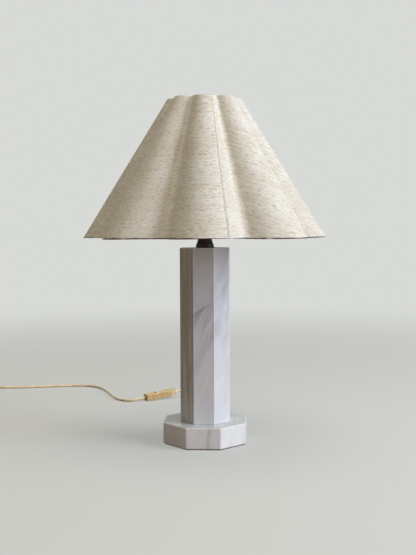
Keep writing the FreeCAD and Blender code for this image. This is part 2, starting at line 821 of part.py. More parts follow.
def lobed_wire(crest, level, inset=0.0):
    """Closed outline of eight rounds and eight tighter valleys, moved inwards by inset."""
    lobe, valley, lobe_centre, valley_centre = lobe_geometry(crest)
    edges = []
    for index in range(LOBES):
        middle = index * LOBE_STEP
        after = middle + LOBE_STEP / 2
        before = middle - LOBE_STEP / 2
        centre = toward(middle, lobe_centre, level)
        valley_after = toward(after, valley_centre, level)
        valley_before = toward(before, valley_centre, level)
        share = (lobe - inset) / (lobe + valley)
        start = centre + (valley_before - centre) * share
        end = centre + (valley_after - centre) * share
        edges.append(Part.Arc(start, toward(middle, crest - inset, level), end).toShape())
        next_centre = toward(middle + LOBE_STEP, lobe_centre, level)
        next_start = next_centre + (valley_after - next_centre) * share
        deepest = toward(after, valley_centre - valley - inset, level)
        edges.append(Part.Arc(end, deepest, next_start).toShape())
    return Part.Wire(edges)


def valley_radius(crest, inset):
    """Distance from the axis to the bottom of a valley."""
    lobe, valley, lobe_centre, valley_centre = lobe_geometry(crest)
    return valley_centre - valley - inset


def shade_crest(level):
    """Crest radius of the cover at a height; its sides are straight."""
    share = (level - float(shade_bottom)) / float(S.shade_height)
    bottom = float(S.shade_bottom_radius)
    return bottom + (float(S.shade_top_radius) - bottom) * share


def lobed_cone(inset):
    """The solid space inside the lobed outlines of both edges, moved inwards by inset."""
    rings = [lobed_wire(shade_crest(level), level, inset)
             for level in (float(shade_bottom), float(shade_top))]
    return Part.makeLoft(rings, True, True)


def shade_skin(outer_inset, inner_inset):
    """A closed skin between two insets, as high as the shade."""
    return lobed_cone(outer_inset).cut(lobed_cone(inner_inset))


SHADE_TURN = FreeCAD.Placement(Vector(), FreeCAD.Rotation(Vector(0, 0, 1), float(S.shade_turn)))


def join_direction():
    """Direction of the straight line up the front lobe where two panels meet."""
    lobe, valley, lobe_centre, valley_centre = lobe_geometry(1.0)
    turn = math.radians(float(S.join_angle))
    return math.degrees(math.atan2(lobe * math.sin(turn), lobe_centre + lobe * math.cos(turn)))


def build_shade_cover(label, side):
    """One of two linen panels: side is 1 for the one that starts right of the join in front."""
    skin = shade_skin(0.0, float(S.fabric_thickness))
    reach = 2 * float(S.shade_bottom_radius)
    block = Part.makeBox(reach, reach / 2, float(S.shade_height) + 2,
                         Vector(-reach / 2, SEAM / 2, float(shade_bottom) - 1))
    direction = join_direction() - 90 + (0 if side > 0 else 180)
    block.rotate(Vector(), Vector(0, 0, 1), direction)
    return solid_feature(label, skin.common(block), SHADE_TURN)


def build_shade_lining():
    outside = float(S.fabric_thickness + S.lining_gap)
    skin = shade_skin(outside, outside + float(S.lining_thickness))
    return solid_feature("shade_lining", skin, SHADE_TURN)


wire_inset = float(S.fabric_thickness + S.lining_gap + S.lining_thickness + S.wire_gap
                   + S.frame_wire_radius)
WIRE_LEVEL = 2.6                 # axis of a ring wire inside the edge of the shade


def wire_ring(level):
    """A frame wire that follows the lobes inside the lining."""
    path = lobed_wire(shade_crest(level), level, wire_inset)
    return tube_along(path, float(S.frame_wire_radius))


def build_shade_bottom_wire():
    level = float(shade_bottom) + WIRE_LEVEL
    return solid_feature("shade_bottom_wire", wire_ring(level), SHADE_TURN)


def build_shade_top_wire():
    level = float(shade_top) - WIRE_LEVEL
    return solid_feature("shade_top_wire", wire_ring(level), SHADE_TURN)


def build_shade_ribs():
    """Eight straight wires up the valleys, from one ring wire to the other."""
    radius = float(S.frame_wire_radius)
    end_gap = radius + 0.75      # clear of the ring wires and of the arms beside them
    ribs = []
    for index in range(LOBES):
        direction = (index + 0.5) * LOBE_STEP
        ends = []
        for level in (float(shade_bottom) + WIRE_LEVEL + end_gap,
                      float(shade_top) - WIRE_LEVEL - end_gap):
            reach = valley_radius(shade_crest(level), wire_inset)
            ends.append(toward(direction, reach, level))
        run = ends[1] - ends[0]
        ribs.append(Part.makeCylinder(radius, run.Length, ends[0], run))
    return solid_feature("shade_ribs", Part.makeCompound(ribs), SHADE_TURN)


def build_fitter_ring():
    body = turned("fitter_ring", [
        (fitter_hole, 0), (fitter_radius, 0), (fitter_radius, S.fitter_thickness),
        (fitter_hole, S.fitter_thickness)])
    return stand(body, z=fitter_bottom)


def build_spider_arms():
    """Four wires from the fitter ring down to the bottom ring wire at every other valley."""
    radius = float(S.arm_radius)
    wire_level = float(shade_bottom) + WIRE_LEVEL
    inner = float(fitter_radius) + SEAM
    arm_level = float(fitter_bottom) + float(S.fitter_thickness) / 2
    outer = valley_radius(shade_crest(wire_level), wire_inset)
    outer -= float(S.frame_wire_radius) + SEAM
    level_run = 22.0
    arms = []
    for index in range(4):
        direction = (2 * index + 0.5) * LOBE_STEP
        points = [toward(direction, inner, arm_level),
                  toward(direction, inner + level_run, arm_level),
                  toward(direction, outer - level_run, wire_level),
                  toward(direction, outer, wire_level)]
        path, radii = tangent_route(points)
        arms.append(tube_along(path, radius))
    return solid_feature("spider_arms", Part.makeCompound(arms), SHADE_TURN)


# ---------------------------------------------------------------- flex inside the lamp

lead_top = rod_top + 5.0         # end of the sheath, clear of the rod inside the holder cap


def build_internal_lead():
    """The flex from the exit bush to the holder: straight in, one bend, straight up."""
    level = float(S.exit_level)
    bend = float(rod_bottom - S.exit_level) + 3.0
    outer_end = float(base_back + S.bush_nose)
    top = float(lead_top)
    short = bend * (1 - math.sqrt(0.5))
    middle = Vector(0, short, level + short)
    path = Part.Wire([
        Part.LineSegment(Vector(0, outer_end, level), Vector(0, bend, level)).toShape(),
        Part.Arc(Vector(0, bend, level), middle, Vector(0, 0, level + bend)).toShape(),
        Part.LineSegment(Vector(0, 0, level + bend), Vector(0, 0, top)).toShape()])
    print("internal_lead: length %.1f, bend %.1f" % (path.Length, bend))
    return solid_feature("internal_lead", tube_along(path, float(S.cord_radius)))


def core_points(side):
    """From the end of the sheath out to one terminal screw."""
    foot = float(lead_top) + 0.2
    head = float(insert_bottom - S.screw_head) - 0.1
    start = float(S.core_radius + 0.15) * side
    end = float(S.terminal_offset) * side
    height = head - foot
    return [(start, 0, foot), (start + 0.3 * side, 0, foot + 0.25 * height),
            (end - 0.3 * side, 0, foot + 0.7 * height), (end, 0, head)]


def build_core(label, side):
    path, radii = tangent_route([Vector(*point) for point in core_points(side)])
    return solid_feature(label, tube_along(path, float(S.core_radius)))


# ---------------------------------------------------------------- inline switch

# Local frame of the switch: x from its left end to its right end, y away from the camera,
# z up. It rests on the lower edge of its left end; the stiff flex lifts its right end.
SWITCH_PLACE = Vector(-142.8, 333.0, 0.7)
SWITCH_HEADING = 33.0
SWITCH_LIFT = 5.0
SWITCH_FRAME = FreeCAD.Placement(
    SWITCH_PLACE, FreeCAD.Rotation(Vector(0, 0, 1), SWITCH_HEADING).multiply(
        FreeCAD.Rotation(Vector(0, 1, 0), -SWITCH_LIFT)))
switch_axis = S.switch_height / 2
half_width = S.switch_width / 2
inner_width = half_width - S.switch_wall
pin_place = S.switch_length / 2
pin_level = S.switch_height - S.pin_depth
bridge_level = pin_level - 4.0
POST_INSET = 2.3                              # screw posts from the floor and the top
screw_inset = S.switch_stub + 2.6             # screw posts from the ends, past the flex
SCREW_PLACES = (("left", screw_inset, S.switch_height - POST_INSET),
                ("right", S.switch_length - screw_inset, as_size(POST_INSET)))
DIMPLE_COLUMNS = 5
DIMPLE_STEP = 7.5
DIMPLE_ROW = 2.4                              # rows above and below the middle


def in_switch(feature):
    """Put a piece made in the switch's own frame into its place."""
    feature.Placement = SWITCH_FRAME
    return feature


def switch_tools(name):
    """What is cut from a half: window, pin hole, way of the flex, screw bores and dimples."""
    tools = [
        box(name + "_window",
            (S.rocker_length + S.rocker_end_gap * 2, S.rocker_width + S.rocker_gap * 2, 4),
            (pin_place - S.rocker_length / 2 - S.rocker_end_gap,
             -S.rocker_width / 2 - S.rocker_gap, S.switch_height - 3)),
        rod(name + "_pin_hole", S.pin_radius + SEAM, S.switch_width - 2.0,
            (pin_place, 1.0 - half_width, pin_level), "y"),
        rod(name + "_cord_way", cord_hole, S.switch_length + 2, (-1, 0, switch_axis), "x")]
    for place, across, up in SCREW_PLACES:
        tools.append(rod("%s_bore_%s" % (name, place), S.switch_screw_radius + SEAM,
                         S.switch_width, (across, 2.0 - half_width, up), "y"))
        tools.append(rod("%s_sink_%s" % (name, place), S.switch_head_radius + 0.1, 2.0,
                         (across, half_width - 1.0 - SEAM, up), "y"))
    depth = 0.5
    for side in (-1, 1):
        for row in (-1, 1):
            for column in range(DIMPLE_COLUMNS):
                across = pin_place + (column - (DIMPLE_COLUMNS - 1) / 2) * DIMPLE_STEP
                tools.append(rod("%s_dimple" % name, 0.9, depth * 2,
                                 (across, half_width * side - depth,
                                  switch_axis + DIMPLE_ROW * row), "y"))
    return fused(name + "_tools", tools)


def switch_half(name, side):
    """One half of the switch body: side is -1 for the camera half and 1 for the back half."""
    wall = S.switch_wall
    low = -half_width if side < 0 else as_size(0)
    inner_low = -inner_width if side < 0 else as_size(0)
    face = float(half_width) * side
    block = box(name + "_block", (S.switch_length, half_width, S.switch_height), (0, low, 0))

    def outer_edge(edge):
        bounds = edge.BoundBox
        return abs(bounds.YMin - face) < 1e-4 and abs(bounds.YMax - face) < 1e-4

    shell = rounded(name + "_rounded", block, float(S.switch_edge), outer_edge)
    cavity = box(name + "_cavity",
                 (S.switch_length - wall * 2, inner_width + 1, S.switch_height - wall * 2),
                 (wall, inner_low - (0 if side < 0 else 1), wall))
    inside = [rod("%s_post_%s" % (name, place), S.post_radius, inner_width,
                  (across, inner_low, up), "y") for place, across, up in SCREW_PLACES]
    hub = S.rocker_width / 2 + S.rocker_gap
    boss_depth = inner_width - hub
    inside.append(box(name + "_boss", (5, boss_depth, 4),
                      (pin_place - 2.5, hub if side > 0 else -inner_width, pin_level - 2.2)))
    hollow = cut_from(name + "_hollow", shell, cavity)
    body = common(name + "_trimmed", [fused(name + "_body", [hollow] + inside), block])
    return in_switch(cut_from(name, body, switch_tools(name)))


def build_switch_rocker():
    """Rocker with a shallow V top, tilted to its off side about the pin."""
    half_length = S.rocker_length / 2
    outline = [(-half_length + 0.3, -1.2), (half_length - 0.3, -1.2), (half_length, 4.6),
               (0, 3.5), (-half_length, 4.6)]
    body = padded("switch_rocker", "XZ_Plane", outline, S.rocker_width,
                  [(S.pin_radius + S.pin_clearance, 0, 0)])
    tilted = FreeCAD.Rotation(Vector(0, 1, 0), float(S.rocker_tilt))
    middle = Vector(float(pin_place), 0, float(pin_level))
    place = middle + tilted.multVec(Vector(0, float(S.rocker_width) / 2, 0))
    body.Placement = SWITCH_FRAME.multiply(FreeCAD.Placement(place, tilted))
    return body


def build_rocker_pin():
    length = S.switch_width - 2.2
    bevel = 0.2
    radius = S.pin_radius
    body = turned("rocker_pin", [(0, 0), (radius - bevel, 0), (radius, bevel),
                                 (radius, length - bevel), (radius - bevel, length), (0, length)])
    place = Vector(float(pin_place), -float(length) / 2, float(pin_level))
    body.Placement = SWITCH_FRAME.multiply(FreeCAD.Placement(place, AXES["y"]))
    return body


def build_switch_screws():
    """Two screws through the back half into the camera half."""
    pieces = []
    for place, across, up in SCREW_PLACES:
        pieces.append(rod("switch_screw_%s_head" % place, S.switch_head_radius, 0.8,
                          (across, half_width - 1.0, up), "y"))
        pieces.append(rod("switch_screw_%s_shank" % place, S.switch_screw_radius,
                          S.switch_width - 3.0, (across, 2.4 - half_width, up), "y"))
    return in_switch(fused("switch_screws", pieces))


def build_switch_contacts():
    """Two fixed brass angles on the floor of the switch."""
    length = 6.0
    width = 8.0
    sheet_metal = 0.8
    floor = S.switch_wall + SEAM
    plates = []
    for place, start, rise in (("left", -10.0, 0.0), ("right", 4.0, length - sheet_metal)):
        across = pin_place + start
        plates.append(box("contact_plate_" + place, (length, width, sheet_metal),
                          (across, -width / 2, floor)))
        plates.append(box("contact_rise_" + place, (sheet_metal, width, 3.0),
                          (across + rise, -width / 2, floor)))
    return in_switch(fused("switch_contacts", plates))


def build_contact_bridge():
    """Spring blade on a foot between the plates, clear under the rocker."""
    length = 11.0
    width = 5.0
    sheet_metal = 0.5
    floor = S.switch_wall + SEAM
    start = pin_place - length / 2
    blade = box("bridge_blade", (length, width, sheet_metal), (start, -width / 2, bridge_level))
    foot = box("bridge_foot", (sheet_metal, width, bridge_level - floor),
               (pin_place, -width / 2, floor))
    return in_switch(fused("contact_bridge", [blade, foot]))


def rectangle_wire(x, half_y, low, high):
    corners = [Vector(x, -half_y, low), Vector(x, half_y, low), Vector(x, half_y, high),
               Vector(x, -half_y, high)]
    return Part.makePolygon(corners + corners[:1])


def build_switch_end_cap():
    """Pale cap on the right end, flared outwards, with a dished mouth round the flex."""
    start = float(S.switch_length) + SEAM
    end = start + float(S.cap_length)
    middle = float(switch_axis)
    height = float(S.switch_height)
    step = 1.0                   # narrow end inside the body's outline, wide end outside it
    dish_depth = 4.0
    dish_width = 3.0
    narrow = rectangle_wire(start, float(half_width) - step, step, height - step)
    wide = rectangle_wire(end, float(half_width) + step, -step, height + step)
    flare = Part.makeLoft([narrow, wide], True, True)
    ahead = Vector(1, 0, 0)
    dish = Part.makeCone(float(cord_hole), float(cord_hole) + dish_width, dish_depth,
                         Vector(end - dish_depth, 0, middle), ahead)
    way = Part.makeCylinder(float(cord_hole), end - start + 2, Vector(start - 1, 0, middle), ahead)
    return solid_feature("switch_end_cap", flare.cut(dish).cut(way), SWITCH_FRAME)


def on_switch(x, y, z):
    """A place in the switch's own frame, as a point of the lamp's frame."""
    point = SWITCH_FRAME.multVec(Vector(x, y, z))
    return (point.x, point.y, point.z)


# ---------------------------------------------------------------- free flex

FLOOR_AXIS = float(S.cord_radius) + 0.05      # axis of a flex that lies on the table

EXIT = (0.0, float(base_back) + float(S.bush_nose), float(S.exit_level))
SWITCH_RIGHT = on_switch(float(S.switch_length - S.switch_stub), 0, float(switch_axis))
SWITCH_LEFT = on_switch(float(S.switch_stub), 0, float(switch_axis))

# From the base to the right end of the switch: back behind the column, then round to it.
ROUTE_TO_SWITCH = [
    EXIT,
    (0.0, 110.0, 9.0),
    (1.0, 137.0, 3.8),
    (4.0, 170.0, FLOOR_AXIS),
    (9.0, 207.0, FLOOR_AXIS),
    (15.0, 246.0, FLOOR_AXIS),
    (18.0, 286.0, FLOOR_AXIS),
    (17.0, 323.0, FLOOR_AXIS),
    (11.0, 354.0, 4.2),
    (-5.0, 378.0, 7.4),
    (-26.0, 391.0, 11.0),
    (-51.0, 391.0, 14.0),
    on_switch(float(S.switch_length) + 25.0, 0, float(switch_axis)),
    SWITCH_RIGHT,
]

# From the left end of the switch: down to the table, round to the left and on to the coil.
ROUTE_FROM_SWITCH = [
    SWITCH_LEFT,
    on_switch(-11.0, 0, float(switch_axis)),
    (-168.5, 320.5, 3.6),
    (-184.5, 322.5, FLOOR_AXIS),
    (-198.0, 332.5, FLOOR_AXIS),
    (-208.0, 348.5, FLOOR_AXIS),
    (-219.0, 374.0, FLOOR_AXIS),
    (-232.0, 408.0, FLOOR_AXIS),
    (-246.5, 441.0, FLOOR_AXIS),
    (-262.0, 468.0, FLOOR_AXIS),
    (-283.0, 486.5, FLOOR_AXIS),
    (-312.0, 492.5, FLOOR_AXIS),
    (-348.0, 487.0, FLOOR_AXIS),
    (-388.0, 476.5, FLOOR_AXIS),
    (-430.0, 467.5, FLOOR_AXIS),
    (-472.0, 461.5, FLOOR_AXIS),
]

COIL_CENTRE = (-541.0, 424.0)
COIL_START_ANGLE = 90.0    # the flex comes in at the back of the coil, heading left
COIL_TURNS_DOWN = 4        # half turns of the lower layer
COIL_TURNS_UP = 3          # half turns of the upper layer
COIL_LEAD_IN = 2 * float(S.cord_radius)
COIL_LEAD_OUT = 6 * float(S.cord_radius)       # until the plug's sleeve clears the turns below
coil_pitch = S.cord_radius * 2 + S.coil_gap
coil_low = S.cord_radius + S.tie_thickness + S.tie_gap
coil_high = coil_low + S.cord_radius * 2 + S.coil_layer_gap


def coil_stations():
    """Angle, radius and height at each half turn: in on the table, up, and out on top."""
    angle = COIL_START_ANGLE
    radius = float(S.coil_outer)
    step = float(coil_pitch) / 2
    low = float(coil_low)
    high = float(coil_high)
    stations = [(angle, radius, low)]
    for turn in range(COIL_TURNS_DOWN):
        angle += 180
        radius -= step
        stations.append((angle, radius, low))
    angle += 180
    stations.append((angle, radius - step / 2, high))        # clear of the turns beside the climb
    for turn in range(COIL_TURNS_UP):
        angle += 180
        radius += step
        stations.append((angle, radius, high))
    stations.append((angle + 90, radius + step / 2, high))
    return stations


def coil_point(angle, radius, height):
    turn = math.radians(angle)
    return Vector(COIL_CENTRE[0] + radius * math.cos(turn),
                  COIL_CENTRE[1] + radius * math.sin(turn), height)


def coil_heading(angle):
    turn = math.radians(angle)
    return Vector(-math.sin(turn), math.cos(turn), 0)


def tangent_arc(start, heading, end):
    """The arc that leaves start along heading and ends at end."""
    chord = end - start
    along = Vector(chord).normalize()
    side = heading - along * heading.dot(along)
    lean = math.atan2(side.Length, heading.dot(along))
    middle = (start + end) * 0.5 + side.normalize() * (chord.Length / 2 * math.tan(lean / 2))
    return Part.Arc(start, middle, end).toShape()


def biarc(start, heading_start, end, heading_end):
    """Two tangent arcs from one place and heading to another."""
    across = end - start
    both = heading_start + heading_end
    square = 2 * (1 - heading_start.dot(heading_end))
    linear = 2 * across.dot(both)
    constant = -across.dot(across)
    reach = (-linear + math.sqrt(linear * linear - 4 * square * constant)) / (2 * square)
    meeting = (start + end + (heading_start - heading_end) * reach) * 0.5
    first = tangent_arc(start, heading_start, meeting)
    second = tangent_arc(end, heading_end * -1, meeting)
    second.reverse()
    return [first, second]


def coil_path():
    """The whole winding as one smooth wire with a straight piece at each end."""
    stations = coil_stations()
    points = [coil_point(*station) for station in stations]
    headings = [coil_heading(station[0]) for station in stations]
    edges = [Part.LineSegment(points[0] - headings[0] * COIL_LEAD_IN, points[0]).toShape()]
    for index in range(len(points) - 1):
        edges += biarc(points[index], headings[index], points[index + 1], headings[index + 1])
    edges.append(Part.LineSegment(points[-1], points[-1] + headings[-1] * COIL_LEAD_OUT).toShape())
    return Part.Wire(edges)


def least_gap(path, radius):
    """Least distance between stretches of the winding that aren't neighbours along it."""
    count = int(path.Length / 3)
    samples = path.discretize(count)
    spacing = path.Length / (count - 1)
    apart = int(4 * radius * math.pi / spacing)
    least = 1e9
    for first in range(count):
        for second in range(first + apart, count):
            least = min(least, samples[first].distanceToPoint(samples[second]))
    return least - 2 * radius


coil_wire = coil_path()
COIL_START = coil_wire.OrderedVertexes[0].Point
COIL_END = coil_wire.OrderedVertexes[-1].Point
ROUTE_FROM_SWITCH += [(COIL_START.x + 30, COIL_START.y, COIL_START.z),
                      (COIL_START.x, COIL_START.y, COIL_START.z)]


def build_cord_coil():
    radius = float(S.cord_radius)
    print("cord_coil: length %.1f, least gap %.2f" % (coil_wire.Length,
                                                      least_gap(coil_wire, radius)))
    return solid_feature("cord_coil", tube_along(coil_wire, radius))


TIE_ANGLE = 300.0


def build_coil_tie():
    """A flat wire tie round all the turns at one place, twisted outside."""
    wall = float(S.tie_thickness)
    room = float(S.cord_radius + S.tie_gap)
    outer = float(S.coil_outer + coil_pitch / 4) + room
    inner = min(station[1] for station in coil_stations()) - room - 0.5
    top = float(coil_high) + room
    width = float(S.tie_width)
    outside = Part.makeBox(outer - inner + 2 * wall, width, top + wall,
                           Vector(inner - wall, -width / 2, 0))
    inside = Part.makeBox(outer - inner, width + 2, top - wall,
                          Vector(inner, -width / 2 - 1, wall))
    twist = Part.makeCylinder(0.9, 9, Vector(outer + wall - SEAM, 0, top / 2), Vector(1, 0, 0))
    turn = FreeCAD.Rotation(Vector(0, 0, 1), TIE_ANGLE)
    return solid_feature("coil_tie", outside.cut(inside).fuse(twist), FreeCAD.Placement(
        Vector(COIL_CENTRE[0], COIL_CENTRE[1], 0), turn))


# ---------------------------------------------------------------- plug

# Local frame of the plug: x from the flex to the pins, z up; it lies flat on the table, so it
# is as thick as twice the height at which the flex leaves the coil.
PLUG_FRAME = FreeCAD.Placement(COIL_END, FreeCAD.Rotation(Vector(0, 0, 1), -90))
plug_thickness = coil_high * 2
plug_start = S.relief_length + SEAM
tail_length = S.relief_length + 10.0


def along_plug(feature):
    """Lay a piece turned about its own axis along the plug."""
    feature.Placement = PLUG_FRAME.multiply(FreeCAD.Placement(Vector(), AXES["x"]))
    return feature


def build_plug_relief():
    """Tapered sleeve on the flex, up to the plug body."""
    tip = S.cord_radius + 0.9
    root = S.cord_radius + 3.2
    return along_plug(turned("plug_relief", [
        (cord_hole, SEAM), (tip, SEAM), (root, S.relief_length), (cord_hole, S.relief_length)]))


def build_plug_tail():
    """The last of the flex, inside the relief and the plug body."""
    return along_plug(turned("plug_tail", [
        (0, SEAM), (S.cord_radius, SEAM), (S.cord_radius, tail_length), (0, tail_length)]))


def build_plug_body():
    """Flat body, narrow at the flex and wide at the pins, with rounded edges."""
    length = S.plug_length
    neck = S.plug_neck / 2
    wide = S.plug_width / 2
    shoulder = plug_start + length * 0.45
    end = plug_start + length
    body = padded("plug_block", "XY_Plane", [
        (plug_start, -neck), (shoulder, -wide), (end, -wide), (end, wide), (shoulder, wide),
        (plug_start, neck)], plug_thickness)
    stand(body, z=-plug_thickness / 2)
    smooth = rounded("plug_rounded", body, float(S.plug_edge), lambda edge: True)
    tools = [rod("plug_way", S.cord_radius + SEAM, tail_length - plug_start + 1,
                 (plug_start - 0.5, 0, 0), "x")]
    for side, name in ((1, "near"), (-1, "far")):
        tools.append(rod("plug_seat_" + name, S.plug_root_radius + SEAM, S.plug_pin_root + 1,
                         (end - S.plug_pin_root, S.plug_pin_spacing / 2 * side, 0), "x"))
    plug = cut_from("plug_body", smooth, fused("plug_tools", tools))
    plug.Placement = PLUG_FRAME
    return plug


def build_plug_pins():
    """Two round pins with a thinner root in the body and bevelled tips."""
    face = plug_start + S.plug_length
    shank = face + S.plug_root_step
    end = face + S.plug_pin_length
    bevel = 0.9
    pieces = []
    for side, name in ((1, "near"), (-1, "far")):
        across = S.plug_pin_spacing / 2 * side
        pieces.append(rod("plug_pin_root_" + name, S.plug_root_radius,
                          S.plug_pin_root + S.plug_root_step,
                          (face - S.plug_pin_root, across, 0), "x"))
        pieces.append(rod("plug_pin_" + name, S.plug_pin_radius, end - shank - bevel,
                          (shank, across, 0), "x"))
        tip = doc.addObject("Part::Cone", "plug_pin_tip_" + name)
        bind(tip, "Radius1", S.plug_pin_radius)
        bind(tip, "Radius2", S.plug_pin_radius - bevel)
        bind(tip, "Height", bevel)
        tip.Placement = FreeCAD.Placement(Vector(), AXES["x"])
        stand(tip, end - bevel, across, 0)
        pieces.append(tip)
    pins = fused("plug_pins", pieces)
    pins.Placement = PLUG_FRAME
    return pins


# ---------------------------------------------------------------- the whole lamp

node(build_felt_pad(), "felt_pad")
node(build_marble_base(), "marble_base")
node(build_marble_column(), "marble_column")
node(build_threaded_rod(), "threaded_rod")
node(build_rod_nut(), "rod_nut")
node(build_rod_washer(), "rod_washer")
node(build_cord_bush(), "cord_bush")
node(build_stepped_collar(), "stepped_collar")
node(build_holder_cap(), "holder_cap")
node(build_holder_sleeve(), "holder_sleeve")
node(build_holder_insert(), "holder_insert")
node(build_thread_shell(), "thread_shell")
node(build_centre_contact(), "centre_contact")
node(build_terminal_screws(), "terminal_screws")
node(build_lower_shade_ring(), "lower_shade_ring")
node(build_upper_shade_ring(), "upper_shade_ring")
node(build_bulb_tip(), "bulb_tip")
node(build_bulb_insulator(), "bulb_insulator")
node(build_bulb_cap(), "bulb_cap")
node(build_bulb_glass(), "bulb_glass")
node(build_bulb_stem(), "bulb_stem")
node(build_bulb_filament(), "bulb_filament")
node(build_shade_cover("shade_cover_right", 1), "shade_cover_right")
node(build_shade_cover("shade_cover_left", -1), "shade_cover_left")
node(build_shade_lining(), "shade_lining")
node(build_shade_bottom_wire(), "shade_bottom_wire")
node(build_shade_top_wire(), "shade_top_wire")
node(build_shade_ribs(), "shade_ribs")
node(build_fitter_ring(), "fitter_ring")
node(build_spider_arms(), "spider_arms")
node(build_internal_lead(), "internal_lead")
node(build_core("brown_core", 1), "brown_core")
node(build_core("blue_core", -1), "blue_core")
node(switch_half("switch_front_half", -1), "switch_front_half")
node(switch_half("switch_back_half", 1), "switch_back_half")
node(build_switch_rocker(), "switch_rocker")
node(build_rocker_pin(), "rocker_pin")
node(build_switch_screws(), "switch_screws")
node(build_switch_contacts(), "switch_contacts")
node(build_contact_bridge(), "contact_bridge")
node(build_switch_end_cap(), "switch_end_cap")
node(solid_feature("cord_to_switch", cord_tube("cord_to_switch", ROUTE_TO_SWITCH,
                                               float(S.cord_radius))), "cord_to_switch")
node(solid_feature("cord_from_switch", cord_tube("cord_from_switch", ROUTE_FROM_SWITCH,
                                                 float(S.cord_radius))), "cord_from_switch")
node(build_cord_coil(), "cord_coil")
node(build_coil_tie(), "coil_tie")
node(build_plug_relief(), "plug_relief")
node(build_plug_tail(), "plug_tail")
node(build_plug_body(), "plug_body")
node(build_plug_pins(), "plug_pins")

doc.recompute()

for feature in doc.Objects:
    if "Invalid" in feature.State or "Error" in feature.State:
        raise ValueError("%s failed: %s" % (feature.Name, feature.State))

os.makedirs("parts", exist_ok=True)
for feature in NODES:
    shape = feature.Shape
    if shape.isNull() or not shape.isValid() or not shape.Solids:
        raise ValueError("%s has no sound solid" % feature.Label)
    print("%-18s %2d solid(s) %12.1f mm3  z %.2f to %.2f" % (
        feature.Label, len(shape.Solids), shape.Volume, shape.BoundBox.ZMin, shape.BoundBox.ZMax))
    shape.exportStep("parts/%s.step" % feature.Label)
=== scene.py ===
import math

import bpy
import numpy as np
from mathutils import Matrix, Vector


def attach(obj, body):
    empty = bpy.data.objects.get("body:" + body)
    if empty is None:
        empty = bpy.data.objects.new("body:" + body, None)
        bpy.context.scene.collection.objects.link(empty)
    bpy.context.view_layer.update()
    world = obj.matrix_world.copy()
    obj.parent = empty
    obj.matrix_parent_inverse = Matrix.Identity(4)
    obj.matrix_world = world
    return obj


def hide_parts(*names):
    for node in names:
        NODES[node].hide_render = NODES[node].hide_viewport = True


# Looks of a column table lamp: marble column and base, dark turned collar, lobed linen shade,
# and a glossy flex that passes an inline switch. All lengths are metres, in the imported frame.

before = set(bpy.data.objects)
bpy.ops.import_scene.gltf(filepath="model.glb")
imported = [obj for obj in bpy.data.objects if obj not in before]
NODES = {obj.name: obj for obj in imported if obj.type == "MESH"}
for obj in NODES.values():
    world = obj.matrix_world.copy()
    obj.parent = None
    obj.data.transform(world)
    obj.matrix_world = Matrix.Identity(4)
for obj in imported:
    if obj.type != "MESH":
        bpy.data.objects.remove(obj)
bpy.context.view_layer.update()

MM = 0.001


# ---------------------------------------------------------------- materials, common

def rgb(red, green, blue):
    """A colour as a screen shows it, 0 to 255, as the renderer's linear numbers."""
    linear = []
    for value in (red, green, blue):
        share = value / 255
        linear.append(share / 12.92 if share <= 0.04045 else ((share + 0.055) / 1.055) ** 2.4)
    return (*linear, 1.0)


class Look:
    """A node material: one shader and short calls for the nodes that feed it."""

    def __init__(self, name, **shader):
        self.material = bpy.data.materials.new(name)
        self.material.use_nodes = True
        self.tree = self.material.node_tree
        self.shader = self.tree.nodes["Principled BSDF"]
        for socket, value in shader.items():
            self.shader.inputs[socket.replace("_", " ")].default_value = value
        self.place = self.add("ShaderNodeTexCoord").outputs["Object"]

    def add(self, kind, sockets=None, **settings):
        node = self.tree.nodes.new(kind)
        for name, value in settings.items():
            setattr(node, name, value)
        for key, value in (sockets or {}).items():
            self.put(value, node.inputs[key])
        return node

    def put(self, value, socket):
        if isinstance(value, bpy.types.NodeSocket):
            self.tree.links.new(value, socket)
        else:
            socket.default_value = value

    def math(self, operation, first, second=0.0, third=0.0):
        node = self.add("ShaderNodeMath", {0: first, 1: second, 2: third}, operation=operation)
        return node.outputs[0]

    def part(self, vector, axis):
        return self.add("ShaderNodeSeparateXYZ", {0: vector}).outputs[axis]

    def joined(self, x, y, z):
        return self.add("ShaderNodeCombineXYZ", {0: x, 1: y, 2: z}).outputs[0]

    def stretched(self, vector, scale, turn=(0, 0, 0), shift=(0, 0, 0)):
        """Turned by angles in degrees, then scaled, then shifted."""
        turned = self.add("ShaderNodeMapping", {
            "Vector": vector, "Rotation": tuple(math.radians(angle) for angle in turn)})
        node = self.add("ShaderNodeMapping", {
            "Vector": turned.outputs[0], "Scale": scale, "Location": shift})
        return node.outputs[0]

    def noise(self, vector, scale=1.0, detail=2.0, roughness=0.5, distortion=0.0):
        node = self.add("ShaderNodeTexNoise", {
            "Vector": vector, "Scale": scale, "Detail": detail, "Roughness": roughness,
            "Distortion": distortion})
        return node.outputs["Fac"]

    def span(self, value, low, high, to_low=0.0, to_high=1.0, smooth=True):
        node = self.add("ShaderNodeMapRange", {
            "Value": value, "From Min": low, "From Max": high, "To Min": to_low, "To Max": to_high},
            interpolation_type="SMOOTHSTEP" if smooth else "LINEAR")
        return node.outputs[0]

    def mix(self, share, first, second, blend="MIX"):
        node = self.add("ShaderNodeMix", data_type="RGBA", blend_type=blend)
        self.put(share, node.inputs[0])
        self.put(first, node.inputs[6])
        self.put(second, node.inputs[7])
        return node.outputs[2]

    def bump(self, height, distance, strength=1.0, below=None):
        node = self.add("ShaderNodeBump", {
            "Height": height, "Distance": distance, "Strength": strength})
        if below is not None:
            self.put(below, node.inputs["Normal"])
        return node.outputs[0]

    def done(self, colour=None, roughness=None, normal=None):
        for value, name in ((colour, "Base Color"), (roughness, "Roughness"), (normal, "Normal")):
            if value is not None:
                self.put(value, self.shader.inputs[name])
        return self.material


# ---------------------------------------------------------------- camera

